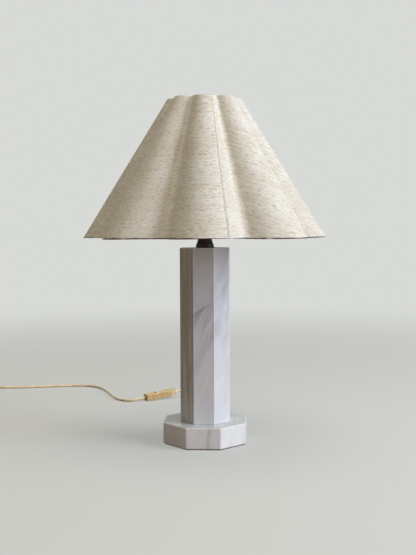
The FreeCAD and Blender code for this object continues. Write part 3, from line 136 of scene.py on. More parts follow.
CAMERA_PLACE = (0.0846, -1.4754, 0.3605)
CAMERA_YAW, CAMERA_PITCH, CAMERA_ROLL = 3.09, 3.304, 0.21     # degrees
CAMERA_LENS = 57.515            # for a sensor of 36 along the longer side of the frame


def make_camera():
    """Fitted to the octagons and the shade outline of the photograph."""
    data = bpy.data.cameras.new("camera")
    data.sensor_fit = "AUTO"
    data.sensor_width = 36.0
    data.lens = CAMERA_LENS
    camera = bpy.data.objects.new("camera", data)
    bpy.context.scene.collection.objects.link(camera)
    yaw, pitch, roll = (math.radians(turn) for turn in (CAMERA_YAW, CAMERA_PITCH, CAMERA_ROLL))
    camera.matrix_world = (
        Matrix.Translation(CAMERA_PLACE) @ Matrix.Rotation(yaw, 4, "Z")
        @ Matrix.Rotation(math.pi / 2 - pitch, 4, "X") @ Matrix.Rotation(-roll, 4, "Z"))
    bpy.context.scene.camera = camera


make_camera()


# ---------------------------------------------------------------- cords

CORD_RADIUS = 0.0026
FLOOR = 0.00265                 # axis of a flex that lies on the table

SWITCH_CORNER = (-0.1428, 0.333, 0.0007)       # middle of the switch's lower left edge
SWITCH_TURN, SWITCH_RISE = 33, 5               # degrees
SWITCH_AXIS = 0.0065            # its axis above its underside
SWITCH_FRAME = (
    Matrix.Translation(SWITCH_CORNER) @ Matrix.Rotation(math.radians(SWITCH_TURN), 4, "Z")
    @ Matrix.Rotation(math.radians(-SWITCH_RISE), 4, "Y"))


def on_switch(x):
    """A point on the axis of the switch, x from its left end."""
    return tuple(SWITCH_FRAME @ Vector((x, 0, SWITCH_AXIS)))


ROUTE_TO_SWITCH = [
    (0.0, 0.088, 0.009),
    (0.0, 0.110, 0.009),
    (0.001, 0.137, 0.0038),
    (0.004, 0.170, FLOOR),
    (0.009, 0.207, FLOOR),
    (0.015, 0.246, FLOOR),
    (0.018, 0.286, FLOOR),
    (0.017, 0.323, FLOOR),
    (0.011, 0.354, 0.0042),
    (-0.005, 0.378, 0.0074),
    (-0.026, 0.391, 0.011),
    (-0.051, 0.391, 0.014),
    on_switch(0.083),
    on_switch(0.051),
]

ROUTE_FROM_SWITCH = [
    on_switch(0.007),
    on_switch(-0.011),
    (-0.1685, 0.3205, 0.0036),
    (-0.1845, 0.3225, FLOOR),
    (-0.198, 0.3325, FLOOR),
    (-0.208, 0.3485, FLOOR),
    (-0.219, 0.374, FLOOR),
    (-0.232, 0.408, FLOOR),
    (-0.2465, 0.441, FLOOR),
    (-0.262, 0.468, FLOOR),
    (-0.283, 0.4865, FLOOR),
    (-0.312, 0.4925, FLOOR),
    (-0.348, 0.487, FLOOR),
    (-0.388, 0.4765, FLOOR),
    (-0.430, 0.4675, FLOOR),
    (-0.472, 0.4615, FLOOR),
    (-0.5058, 0.461, 0.0031),
]

COIL_CENTRE = Vector((-0.541, 0.424, 0))
COIL_OUTER = 0.037              # axis of the outermost turn
COIL_STEP = 0.00305             # change of radius in half a turn
COIL_LOW = 0.0031
COIL_HIGH = 0.0088
LOW_HALF_TURNS, HIGH_HALF_TURNS = 4, 3
PLUG_LEAD = 0.0156              # straight flex from the coil to the plug's sleeve
POINTS_PER_HALF_TURN = 8
SPLINE_GAIN = 1.0097            # the spline cuts corners, so its points lie a little outside


def coil_stations():
    """Angle, radius and height at each half turn: in on the table, up, and out on top."""
    angle, radius = 90.0, COIL_OUTER
    stations = [(angle, radius, COIL_LOW)]
    for _ in range(LOW_HALF_TURNS):
        angle += 180
        radius -= COIL_STEP
        stations.append((angle, radius, COIL_LOW))
    angle += 180
    stations.append((angle, radius - COIL_STEP / 2, COIL_HIGH))
    for _ in range(HIGH_HALF_TURNS):
        angle += 180
        radius += COIL_STEP
        stations.append((angle, radius, COIL_HIGH))
    stations.append((angle + 90, radius + COIL_STEP / 2, COIL_HIGH))
    return stations


def coil_route():
    """Points along the turns and on to the plug."""
    stations = coil_stations()
    points = []
    for (a0, r0, z0), (a1, r1, z1) in zip(stations, stations[1:]):
        count = round(POINTS_PER_HALF_TURN * (a1 - a0) / 180)
        for step in range(count):
            share = step / count
            smooth = share * share * (3 - 2 * share)
            angle = math.radians(a0 + (a1 - a0) * share)
            radius = (r0 + (r1 - r0) * share) * SPLINE_GAIN
            points.append(COIL_CENTRE + Vector((
                radius * math.cos(angle), radius * math.sin(angle), z0 + (z1 - z0) * smooth)))
    angle, radius, height = stations[-1]
    turn = math.radians(angle)
    last = COIL_CENTRE + Vector((radius * math.cos(turn), radius * math.sin(turn), height))
    heading = Vector((-math.sin(turn), math.cos(turn), 0))
    points += [last, last + heading * PLUG_LEAD]
    return [tuple(point) for point in points]


def make_flex(name, route):
    """A round flex whose axis is a smooth spline that the route's points pull along."""
    curve = bpy.data.curves.new(name, "CURVE")
    curve.dimensions = "3D"
    curve.bevel_depth = 1.0         # times the points' own radius
    curve.bevel_resolution = 5
    curve.resolution_u = 8
    curve.use_fill_caps = True
    spline = curve.splines.new("NURBS")
    spline.points.add(len(route) - 1)
    for point, place in zip(spline.points, route):
        point.co = (*place, 1.0)
        point.radius = CORD_RADIUS
    spline.order_u = 3
    spline.use_endpoint_u = True
    flex = bpy.data.objects.new(name, curve)
    bpy.context.scene.collection.objects.link(flex)
    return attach(flex, "root")


flex_to_switch = make_flex("flex_to_switch", ROUTE_TO_SWITCH)
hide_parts("cord_to_switch")

flex_from_switch = make_flex("flex_from_switch", ROUTE_FROM_SWITCH + coil_route())
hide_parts("cord_from_switch", "cord_coil")


# ---------------------------------------------------------------- shade

LOBES = 8
STEP = 2 * math.pi / LOBES
LOBE = 0.28                     # radius of a lobe, as a share of the crest radius
VALLEY = 0.06                   # radius of a valley, likewise
SHADE_TURN = math.radians(3.3 - 90)            # the first lobe faces the camera
LOBE_COLUMNS, VALLEY_COLUMNS = 30, 9           # of the mesh, round a lobe and in a valley
COVER_ROWS, LINING_ROWS = 56, 40
BOTTOM, TOP = 0.3415, 0.5695
BOTTOM_CREST, TOP_CREST = 0.2018, 0.0614
JOIN = math.radians(37)         # the panels' joins, round a lobe from its crest
UNDERLAP = math.radians(0.3)    # a panel's end runs on so far, so that its join has no gap
FABRIC = 0.0008
LINING_OUTSIDE = 0.0010
LINING = 0.0005

LOBE_CENTRE = 1 - LOBE
ACROSS = LOBE_CENTRE * math.sin(STEP / 2)
VALLEY_CENTRE = (LOBE_CENTRE * math.cos(STEP / 2)
                 + math.sqrt((LOBE + VALLEY) ** 2 - ACROSS ** 2))
LOBE_SPAN = math.atan2(VALLEY_CENTRE * math.sin(STEP / 2),
                       VALLEY_CENTRE * math.cos(STEP / 2) - LOBE_CENTRE)
VALLEY_SPAN = LOBE_SPAN - STEP / 2


def lobe_samples(index, start, end, count):
    """Points and outward normals on one lobe of the unit outline, from start to end."""
    base = index * STEP
    centre = LOBE_CENTRE * np.array([math.cos(base), math.sin(base)])
    rows = []
    for angle in np.linspace(start, end, count):
        normal = np.array([math.cos(base + angle), math.sin(base + angle)])
        rows.append((centre + LOBE * normal, normal, index))
    return rows


def valley_samples(index, count):
    """Points and outward normals in the valley after one lobe, without its ends."""
    base = (index + 0.5) * STEP
    centre = VALLEY_CENTRE * np.array([math.cos(base), math.sin(base)])
    rows = []
    for angle in np.linspace(VALLEY_SPAN, -VALLEY_SPAN, count + 2)[1:-1]:
        normal = np.array([math.cos(base + angle), math.sin(base + angle)])
        side = index if angle > 0 else index + 1
        rows.append((centre - VALLEY * normal, normal, side))
    return rows


def outline(first, start, last, end):
    """The unit outline from an angle on one lobe to an angle on a later one."""
    rows = []
    for index in range(first, last + 1):
        low = start if index == first else -LOBE_SPAN
        high = end if index == last else LOBE_SPAN
        count = max(4, round(LOBE_COLUMNS * (high - low) / (2 * LOBE_SPAN)))
        rows += lobe_samples(index, low, high, count)
        if index < last:
            rows += valley_samples(index, VALLEY_COLUMNS)
    points = np.array([row[0] for row in rows])
    normals = np.array([row[1] for row in rows])
    sides = np.array([row[2] for row in rows])
    return points, normals, sides


def shade_crest(level):
    share = (level - BOTTOM) / (TOP - BOTTOM)
    return BOTTOM_CREST + (TOP_CREST - BOTTOM_CREST) * share


def skin_section(inset, thickness, rows):
    """A closed section of cloth, top to bottom outside and back up inside, with soft edges:
    pairs of inset and level."""
    soft = thickness / 2
    levels = np.linspace(TOP - soft, BOTTOM + soft, rows)
    corner = soft * math.cos(math.pi / 4)
    middle = inset + soft
    outside = [(inset, level) for level in levels]
    inside = [(inset + thickness, level) for level in levels[::-1]]
    under = [(middle - corner, BOTTOM + soft - corner), (middle, BOTTOM),
             (middle + corner, BOTTOM + soft - corner)]
    over = [(middle + corner, TOP - soft + corner), (middle, TOP),
            (middle - corner, TOP - soft + corner)]
    return outside + under + inside + over


def cloth_wave(angle, level):
    """How far the cloth stands out of its true cone, or in, most of all at its foot."""
    down = (TOP - level) / (TOP - BOTTOM)
    swell = (0.30 * np.sin(3 * angle + 0.7) + 0.22 * np.sin(7 * angle + 2.1 + 5 * down)
             + 0.16 * np.sin(13 * angle + 0.4 - 8 * down))
    return swell * MM * (0.3 + 0.7 * down)


def edge_dip(angle):
    """The cut edge wanders a little up and down."""
    return (0.55 * np.sin(4 * angle + 1.2) + 0.4 * np.sin(9 * angle + 0.3)) * MM


LAP_RAISE = 0.22 * MM           # a panel's first edge stands so proud of the other panel
LAP_WIDTH = 9 * MM
LAP_FADE = 6 * MM
EDGE_REACH = 0.05               # the dips of the foot's edge die out over this height
SLOPE = 1.14                    # cloth up the slope for each metre of height, about
ROUNDING = 3                    # points of a section that round each of its two edges


def make_skin(name, rows_2d, section, closed, raised):
    """A cloth solid from an outline and a section. Rows run along the section, columns round
    the outline. Every face corner knows its place in the weave: along, up and lobe."""
    points, normals, sides = rows_2d
    count, depth = len(points), len(section)
    steps = np.linalg.norm(np.diff(points, axis=0), axis=1)
    along = np.concatenate([[0.0], np.cumsum(steps)])
    crests = {}
    for side in sorted(set(sides)):
        span = np.where(sides == side)[0]
        crests[side] = crest_length(points[span], along[span], side)
    angle = np.unwrap(np.arctan2(points[:, 1], points[:, 0]))
    turn_cos, turn_sin = math.cos(SHADE_TURN), math.sin(SHADE_TURN)
    vertices = np.zeros((depth, count, 3))
    for row, (inset, level) in enumerate(section):
        crest = shade_crest(level)
        lift = cloth_wave(angle, level)
        if raised:
            ahead = along * crest
            fade = np.clip((LAP_WIDTH + LAP_FADE - ahead) / LAP_FADE, 0, 1)
            lift = lift + LAP_RAISE * fade * fade * (3 - 2 * fade)
        flat = points * crest + normals * (lift - inset)[:, None]
        vertices[row, :, 0] = flat[:, 0] * turn_cos - flat[:, 1] * turn_sin
        vertices[row, :, 1] = flat[:, 0] * turn_sin + flat[:, 1] * turn_cos
        near = np.clip(1 - (level - BOTTOM) / EDGE_REACH, 0, 1)
        vertices[row, :, 2] = level + edge_dip(angle) * near
    columns = count if closed else count - 1
    loop = along[-1] + np.linalg.norm(points[0] - points[-1]) if closed else 0
    faces, corners = [], []

    def corner(row, column, side):
        level = section[row][1]
        crest = shade_crest(level)
        length = along[column % count] + (loop if column == count else 0)
        return ((length - crests[side]) * crest, (level - BOTTOM) * SLOPE, side)

    for column in range(columns):
        after = (column + 1) % count
        side = sides[column] if column + 1 == count else sides[after]
        for row in range(depth):
            below = (row + 1) % depth
            faces.append((row * count + column, below * count + column,
                          below * count + after, row * count + after))
            corners += [corner(row, column, side), corner(below, column, side),
                        corner(below, column + 1, side), corner(row, column + 1, side)]
    if not closed:
        half = depth // 2 - ROUNDING
        last_in = 2 * half + ROUNDING - 1       # the inside row behind the first outside row
        pairs = [(row, last_in - row) for row in range(half)]
        for column, flip in ((0, False), (count - 1, True)):
            side = sides[column]
            rings = [(a0, b0, b1, a1) for (a0, b0), (a1, b1) in zip(pairs, pairs[1:])]
            low_out, low_in = pairs[-1]
            top_out, top_in = pairs[0]
            rings.append((low_out, low_in, low_out + 3, low_out + 2, low_out + 1))
            rings.append((top_in, top_out, depth - 1, depth - 2, depth - 3))
            for ring in rings:
                ring = ring[::-1] if flip else ring
                faces.append(tuple(row * count + column for row in ring))
                corners += [corner(row, column, side) for row in ring]
    mesh = bpy.data.meshes.new(name)
    mesh.from_pydata(vertices.reshape(-1, 3).tolist(), [], faces)
    weave = mesh.attributes.new("cloth", "FLOAT_VECTOR", "CORNER")
    weave.data.foreach_set("vector", np.array(corners, np.float32).ravel())
    mesh.shade_smooth()
    skin = bpy.data.objects.new(name, mesh)
    bpy.context.scene.collection.objects.link(skin)
    return skin


def crest_length(points, along, side):
    """Where along the outline the crest of a lobe lies, also when it is outside the panel."""
    base = side * STEP
    bearings = np.arctan2(points[:, 1], points[:, 0])
    turned = np.angle(np.exp(1j * (bearings - base)))
    order = np.argsort(turned)
    if turned.min() <= 0 <= turned.max():
        return float(np.interp(0, turned[order], along[order]))
    nearest = order[0] if turned.min() > 0 else order[-1]
    centre = LOBE_CENTRE * np.array([math.cos(base), math.sin(base)])
    reach = points[nearest] - centre
    swing = np.angle(np.exp(1j * (math.atan2(reach[1], reach[0]) - base)))
    return float(along[nearest] - swing * LOBE)


cover_section = skin_section(0.0, FABRIC, COVER_ROWS)
lining_section = skin_section(LINING_OUTSIDE, LINING, LINING_ROWS)

covers = []
for name, first in (("shade_cover_right", 0), ("shade_cover_left", 4)):
    half_outline = outline(first, JOIN, first + LOBES // 2, JOIN + UNDERLAP)
    cover = make_skin(name.replace("cover", "linen"), half_outline, cover_section,
                      closed=False, raised=True)
    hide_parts(name)
    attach(cover, "shade")
    covers.append(cover)

lining_outline = tuple(part[:-1] for part in outline(0, 0.0, LOBES, 0.0))
lining = make_skin("shade_inner_lining", lining_outline, lining_section,
                   closed=True, raised=False)
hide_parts("shade_lining")
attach(lining, "shade")


# ---------------------------------------------------------------- cloth

THREAD = 0.00078                # one thread of the linen to the next
THREAD_RELIEF = 0.00028
LOBE_APART = 7.3                # keeps the weave of one lobe unlike the next one's
LINEN_PALE, LINEN_MID, LINEN_TAN = rgb(236, 234, 229), rgb(227, 222, 213), rgb(172, 149, 112)
LINEN_BAND, LINEN_SLUB, LINEN_FLECK = rgb(210, 197, 174), rgb(243, 242, 238), rgb(140, 116, 82)
# painted shade and painted reflection: the dark line along the shade's foot
LINEN_FOOT_SHADE = rgb(88, 62, 48)


def linen_threads(look, weave):
    """The plain weave of round threads, from 0 between them to 1 on their backs."""
    across = look.math("MULTIPLY", look.part(weave, 0), math.pi / THREAD)
    up = look.math("MULTIPLY", look.part(weave, 1), math.pi / THREAD)
    weft = look.math("ABSOLUTE", look.math("COSINE", up))
    warp = look.math("ABSOLUTE", look.math("COSINE", across))
    over = look.math("MULTIPLY", look.math("SINE", across), look.math("SINE", up))
    cross = look.math("MULTIPLY_ADD", over, 0.5, 0.5)
    return look.math("ADD", look.math("MULTIPLY", weft, cross),
                     look.math("MULTIPLY", warp, look.math("SUBTRACT", 1.0, cross)))


def linen_foot_shade(look):
    """Where a dark reddish-brown line is painted along the foot of the cloth: painted shade under
    the rolled hem, with a painted reflection of a dark table.
    """
    noise = look.noise(look.stretched(look.place, (60, 60, 60)), detail=1)
    top = look.math("MULTIPLY_ADD", noise, 0.0016, BOTTOM + 0.0009)
    edge = look.math("LESS_THAN", look.part(look.place, 2), top)
    return look.math("MULTIPLY", edge, look.span(noise, 0.30, 0.45, 0.35, 0.95))


def make_linen(name, grain, seed):
    """Slubbed natural linen whose wefts lean by an angle; along its foot a dark brown line is
    painted shade and painted reflection under the hem.
    """
    look = Look(name, Sheen_Weight=0.15, Sheen_Roughness=0.5, Specular_IOR_Level=0.25)
    cloth = look.add("ShaderNodeAttribute", attribute_name="cloth").outputs["Vector"]
    weave = look.stretched(cloth, (1, 1, LOBE_APART), turn=(0, 0, grain), shift=(0, 0, seed))
    long_slubs = look.noise(look.stretched(weave, (60, 640, 1)), detail=2.5, roughness=0.6)
    short_slubs = look.noise(look.stretched(weave, (135, 860, 1), shift=(3, 7, 0)), detail=1.5)
    warp_slubs = look.noise(look.stretched(weave, (800, 60, 1), shift=(9, 2, 0)), detail=1.5)
    bands = look.noise(look.stretched(weave, (8, 160, 1), shift=(1, 5, 0)), detail=2)
    mottle = look.noise(look.stretched(cloth, (22, 22, 3)), detail=3)
    flecks = look.noise(look.stretched(weave, (420, 640, 1), shift=(4, 4, 0)), detail=1)
    thick = look.span(long_slubs, 0.60, 0.74)
    thin = look.span(short_slubs, 0.60, 0.72)
    upright = look.span(warp_slubs, 0.62, 0.76)
    threads = linen_threads(look, weave)
    colour = look.mix(look.span(mottle, 0.30, 0.70), LINEN_MID, LINEN_PALE)
    for mask, share, tint in (
            (look.span(bands, 0.42, 0.66), 0.28, LINEN_BAND),
            (thick, 0.45, LINEN_SLUB),
            (look.span(short_slubs, 0.48, 0.32), 0.60, LINEN_TAN),
            (look.span(long_slubs, 0.42, 0.28), 0.45, LINEN_TAN),
            (look.span(flecks, 0.66, 0.74), 0.65, LINEN_FLECK),
            (look.span(threads, 0.55, 0.15), 0.25, LINEN_TAN)):
        colour = look.mix(look.math("MULTIPLY", mask, share), colour, tint)
    height = look.math("MULTIPLY_ADD", thick, 1.3, look.math("MULTIPLY", threads, 0.8))
    height = look.math("ADD", height, look.math("MULTIPLY", thin, 0.8))
    height = look.math("ADD", height, look.math("MULTIPLY", upright, 0.5))
    # the dark line along the foot is painted shade and painted reflection, not a coloured edge
    colour = look.mix(linen_foot_shade(look), colour, LINEN_FOOT_SHADE)
    return look.done(colour, 0.92, look.bump(height, THREAD_RELIEF, strength=0.9))


def make_lining(name):
    """Smooth, slightly yellowed white lining."""
    look = Look(name, Specular_IOR_Level=0.35)
    cloth = look.add("ShaderNodeAttribute", attribute_name="cloth").outputs["Vector"]
    fine = look.noise(look.stretched(cloth, (900, 900, 7)), detail=2)
    stain = look.noise(look.stretched(cloth, (18, 18, 3)), detail=3)
    colour = look.mix(look.span(stain, 0.3, 0.7), rgb(238, 234, 222), rgb(247, 245, 238))
    return look.done(colour, look.span(fine, 0, 1, 0.55, 0.7), look.bump(fine, 0.00012, 0.6))


# ---------------------------------------------------------------- marble

BED = (6, -22, 0)               # how the stone's bed leans, in degrees
COLUMN_FRONT = 0.0407           # the column's axis to its front face, about
COLUMN_CORNER, COLUMN_CROWN = 0.04405, 0.325
BASE_CORNER, BASE_CROWN = 0.07414, 0.036
VEIN_ACROSS, VEIN_BACK = -0.74, -0.56          # how the main vein's plane leans
VEIN_HEIGHT = 0.2275            # where it meets the front face
FRONT_LEFT_EDGE = -0.0168       # x of the left front face's right end


def column_marks(look, colour, x, y, z, shift, streaks, clouds):
    """The column's main vein and the thin one below it; painted light that makes it lighter towards
    its foot;
    painted shade that darkens its left faces towards brown; and a painted shadow of the shade on
    its top."""
    plane = look.math("MULTIPLY_ADD", x, VEIN_ACROSS,
                      look.math("SUBTRACT", z, VEIN_HEIGHT - VEIN_BACK * COLUMN_FRONT))
    plane = look.math("MULTIPLY_ADD", y, VEIN_BACK, plane)
    plane = look.math("ADD", plane, look.math("MULTIPLY", shift, 0.8))
    above = look.span(plane, 0.0050, 0.0)
    below = look.span(plane, -0.030, -0.001)
    soft = look.math("MULTIPLY", above, look.math("MULTIPLY", below,
                     look.span(streaks, 0.35, 0.62, 0.25, 1.0)))
    core = look.math("MULTIPLY", above, look.span(plane, -0.0055, -0.0012))
    core = look.math("MULTIPLY", core, look.span(clouds, 0.35, 0.60, 0.45, 1.0))
    core = look.math("MULTIPLY", core, look.span(x, 0.018, -0.004, 0.25, 1.0))
    core = look.math("MULTIPLY", core, look.span(x, -0.024, -0.014))
    dark = look.math("MAXIMUM", look.math("MULTIPLY", soft, 0.42), core)
    colour = look.mix(look.math("MULTIPLY", dark, 0.6), colour, rgb(112, 112, 122))
    side = look.math("ADD", look.math("MULTIPLY_ADD", z, -0.31, x),
                     look.math("MULTIPLY_ADD", shift, 0.5, 0.060))
    thin = look.math("SUBTRACT", 1.0, look.span(look.math("ABSOLUTE", side), 0.0, 0.0055))
    thin = look.math("MULTIPLY", thin, look.math("MULTIPLY", look.span(z, 0.245, 0.215),
                     look.span(streaks, 0.38, 0.62, 0.2, 1.0)))
    colour = look.mix(look.math("MULTIPLY", thin, 0.38), colour, rgb(128, 128, 134))
    # painted light: lighter towards the foot, where more light reaches the column below the shade
    colour = look.mix(look.math("MULTIPLY", look.span(z, 0.20, 0.05), 0.5), colour,
                      rgb(243, 243, 246))
    # painted shade: the left faces, turned away from the lamps, are darkened towards a warm brown
    left_shade_noise = look.noise(look.stretched(look.place, (120, 120, 7)), detail=3)
    left_face_shade = look.math("MULTIPLY", look.span(x, FRONT_LEFT_EDGE, FRONT_LEFT_EDGE - 0.0014),
                        look.span(left_shade_noise, 0.40, 0.60, 0.35, 0.85))
    colour = look.mix(left_face_shade, colour, rgb(178, 171, 154))
    # painted shadow: the top of the column, under the lampshade, is darkened
    return look.mix(look.span(z, 0.255, COLUMN_CROWN, 0.0, 0.42), colour, rgb(178, 172, 170))


def base_marks(look, colour, x, y, z, shift, streaks, clouds):
    """The base's one thin vein on its front, and painted shade that darkens its top face."""
    line = look.math("ABSOLUTE", look.math("ADD", look.math("SUBTRACT", x, 0.0089),
                                           look.math("MULTIPLY", shift, 0.5)))
    line = look.math("MULTIPLY", look.span(line, 0.0048, 0.0004), 0.28)
    colour = look.mix(line, colour, rgb(150, 150, 156))
    # painted shade: the top face is darkened to hold down the light that falls on it from above
    top = look.span(z, BASE_CROWN - 0.00008, BASE_CROWN - 0.00002, 0.0, 0.7)
    return look.mix(top, colour, rgb(206, 209, 205))


def make_marble(name, base, grey, deep, add_marks, corner, crown):
    """Polished pale marble: soft streaks that lean with the stone's bed, and marks of its own.
    A painted highlight whitens its edges: upright ones at corner from the axis, and those at crown."""
    look = Look(name, Specular_IOR_Level=0.45)
    x, y, z = (look.part(look.place, axis) for axis in range(3))
    reach = look.add("ShaderNodeVectorMath", {0: look.joined(x, y, 0.0)},
                     operation="LENGTH").outputs["Value"]
    wobble = look.noise(look.stretched(look.place, (28, 28, 28)), detail=4, roughness=0.6)
    shift = look.math("MULTIPLY_ADD", wobble, 0.022, -0.011)
    streaks = look.noise(look.stretched(look.place, (95, 75, 9), turn=BED), detail=5,
                         roughness=0.62, distortion=0.9)
    broad = look.noise(look.stretched(look.place, (26, 26, 6), turn=BED), detail=3,
                       roughness=0.55, distortion=0.6)
    clouds = look.noise(look.stretched(look.place, (14, 14, 9)), detail=4)
    crystals = look.noise(look.place, scale=1400, detail=2)
    colour = look.mix(look.span(clouds, 0.32, 0.68), base, grey)
    for mask, share, tint in ((look.span(streaks, 0.52, 0.72), 0.5, deep),
                              (look.span(broad, 0.54, 0.72), 0.45, deep),
                              (look.span(streaks, 0.46, 0.30), 0.5, rgb(240, 240, 244))):
        colour = look.mix(look.math("MULTIPLY", mask, share), colour, tint)
    colour = add_marks(look, colour, x, y, z, shift, streaks, clouds)
    # painted highlight along the chamfered edges
    edge_highlight = look.math("MAXIMUM", look.span(reach, corner - 0.0005, corner - 0.0001),
                    look.math("MULTIPLY", look.span(z, crown - 0.0014, crown - 0.0009),
                              look.span(z, crown - 0.0001, crown - 0.0004)))
    colour = look.mix(look.math("MULTIPLY", edge_highlight, 0.6), colour, rgb(250, 250, 252))
    rough = look.span(streaks, 0.2, 0.8, 0.20, 0.30)
    return look.done(colour, rough, look.bump(crystals, 0.00003, 0.5))


# ---------------------------------------------------------------- other materials

def make_plain(name, light, dark, rough, scale=60, grain=900, depth=0.00004, **shader):
    """One stuff with soft variation in colour and gloss and a fine grain."""
    look = Look(name, **shader)
    cloud = look.noise(look.place, scale=scale, detail=3)
    fine = look.noise(look.place, scale=grain, detail=2)
    colour = look.mix(look.span(cloud, 0.3, 0.7), dark, light)
    roughness = look.span(cloud, 0.3, 0.7, rough[0], rough[1])
    return look.done(colour, roughness, look.bump(fine, depth, 0.6))


def make_metal(name, light, dark, rough, turned=False):
    """Metal with fine lines from the lathe or the draw and a little tarnish."""
    look = Look(name, Metallic=1.0)
    lines = look.noise(look.stretched(look.place, (60, 60, 4000) if turned else (700, 700, 700)),
                       detail=2)
    cloud = look.noise(look.place, scale=90, detail=4)
    colour = look.mix(look.span(cloud, 0.35, 0.65), dark, light)
    roughness = look.span(lines, 0.3, 0.7, rough[0], rough[1])
    return look.done(colour, roughness, look.bump(lines, 0.00002, 0.5))


RING_STEP = 0.0045              # one turned ring of the collar to the next


def make_bronze():
    """Dark bronzed turning, lighter on the crests of its rings: rubbed wear and a painted
    highlight.
    """
    look = Look("dark_bronze", Metallic=0.35, Specular_IOR_Level=0.5)
    z = look.part(look.place, 2)
    lines = look.noise(look.stretched(look.place, (40, 40, 3500)), detail=2)
    cloud = look.noise(look.place, scale=130, detail=4)
    colour = look.mix(look.span(cloud, 0.35, 0.65), rgb(33, 24, 18), rgb(52, 40, 30))
    # painted highlight and wear: the ring crests are lightened
    ring_wear_and_highlight = look.math("ABSOLUTE", look.math("SINE", look.math("MULTIPLY", z, math.pi / RING_STEP)))
    ring_wear_and_highlight = look.math("MULTIPLY", look.span(ring_wear_and_highlight, 0.72, 1.0), look.span(cloud, 0.35, 0.65, 0.15, 0.6))
    colour = look.mix(ring_wear_and_highlight, colour, rgb(104, 88, 72))
    return look.done(colour, look.span(lines, 0.3, 0.7, 0.28, 0.42), look.bump(lines, 0.00003, 0.6))


def make_glass(name, colour, rough, clear):
    """Glass that clouds a little: clear is its transmission, 0 for opal glass."""
    look = Look(name, IOR=1.5, Transmission_Weight=clear)
    cloud = look.noise(look.place, scale=45, detail=2)
    tint = look.mix(look.span(cloud, 0.3, 0.7), colour, rgb(252, 251, 246))
    return look.done(tint, look.span(cloud, 0.3, 0.7, rough, rough + 0.05))


def make_flex_look():
    """Glossy gold flex with a faintly uneven sheath."""
    look = Look("flex", Specular_IOR_Level=0.55, Coat_Weight=0.4, Coat_Roughness=0.12)
    cloud = look.noise(look.place, scale=55, detail=3)
    fine = look.noise(look.place, scale=420, detail=2)
    colour = look.mix(look.span(cloud, 0.3, 0.7), rgb(226, 202, 156), rgb(240, 221, 182))
    colour = look.mix(look.math("MULTIPLY", look.span(fine, 0.6, 0.75), 0.2), colour,
                      rgb(196, 168, 120))
    return look.done(colour, look.span(cloud, 0.3, 0.7, 0.24, 0.34), look.bump(fine, 0.00008, 0.5))


DIMPLE_STEP, DIMPLE_RADIUS = 0.0075, 0.0013
DIMPLE_MIDDLE = 0.029           # the middle column of dimples from the switch's left end
DIMPLE_OFF_AXIS = 0.0024        # a row of dimples above or below the axis
GRIP_DEPTH = 0.0075             # the grip faces lie farther than this from the switch's middle


def make_switch_gold():
    """Moulded gold plastic with a fine grain; painted shade darkens the dimples of the grip."""
    look = Look("switch_gold", Coat_Weight=0.2, Coat_Roughness=0.3)
    own = look.add("ShaderNodeMapping", {
        "Vector": look.place, "Location": tuple(SWITCH_FRAME.translation),
        "Rotation": tuple(SWITCH_FRAME.to_euler())}, vector_type="TEXTURE").outputs[0]
    x, y, z = (look.part(own, axis) for axis in range(3))
    column = look.math("DIVIDE", look.math("SUBTRACT", x, DIMPLE_MIDDLE), DIMPLE_STEP)
    across = look.math("MULTIPLY", look.math("SUBTRACT", column, look.math("ROUND", column)),
                       DIMPLE_STEP)
    up = look.math("SUBTRACT", look.math("ABSOLUTE", look.math("SUBTRACT", z, SWITCH_AXIS)),
                   DIMPLE_OFF_AXIS)
    away = look.math("SQRT", look.math("ADD", look.math("MULTIPLY", across, across),
                                       look.math("MULTIPLY", up, up)))
    # painted shade: the dimples of the grip are darkened
    dimple_shade = look.math("MULTIPLY", look.span(away, DIMPLE_RADIUS, DIMPLE_RADIUS - 0.0004),
                     look.math("LESS_THAN", look.math("ABSOLUTE", column), 2.5))
    dimple_shade = look.math("MULTIPLY", dimple_shade,
                     look.math("GREATER_THAN", look.math("ABSOLUTE", y), GRIP_DEPTH))
    cloud = look.noise(look.place, scale=140, detail=3)
    fine = look.noise(look.place, scale=1600, detail=2)
    colour = look.mix(look.span(cloud, 0.3, 0.7), rgb(206, 170, 108), rgb(226, 192, 132))
    colour = look.mix(look.math("MULTIPLY", dimple_shade, 0.75), colour, rgb(126, 88, 44))
    return look.done(colour, look.span(cloud, 0.3, 0.7, 0.30, 0.42), look.bump(fine, 0.00005, 0.6))


marble_column_look = make_marble(
    "marble_column", rgb(226, 226, 232), rgb(206, 206, 213), rgb(178, 177, 182),
    column_marks, COLUMN_CORNER, COLUMN_CROWN)
marble_base_look = make_marble(
    "marble_base", rgb(249, 248, 248), rgb(240, 240, 240), rgb(202, 202, 200),
    base_marks, BASE_CORNER, BASE_CROWN)
linen_right = make_linen("linen_right", 25, 0.0)
linen_left = make_linen("linen_left", 0, 4.0)
covers[0].data.materials.append(linen_right)
covers[1].data.materials.append(linen_left)
lining.data.materials.append(make_lining("lining"))
flex_look = make_flex_look()
for flex in (flex_to_switch, flex_from_switch):
    flex.data.materials.append(flex_look)

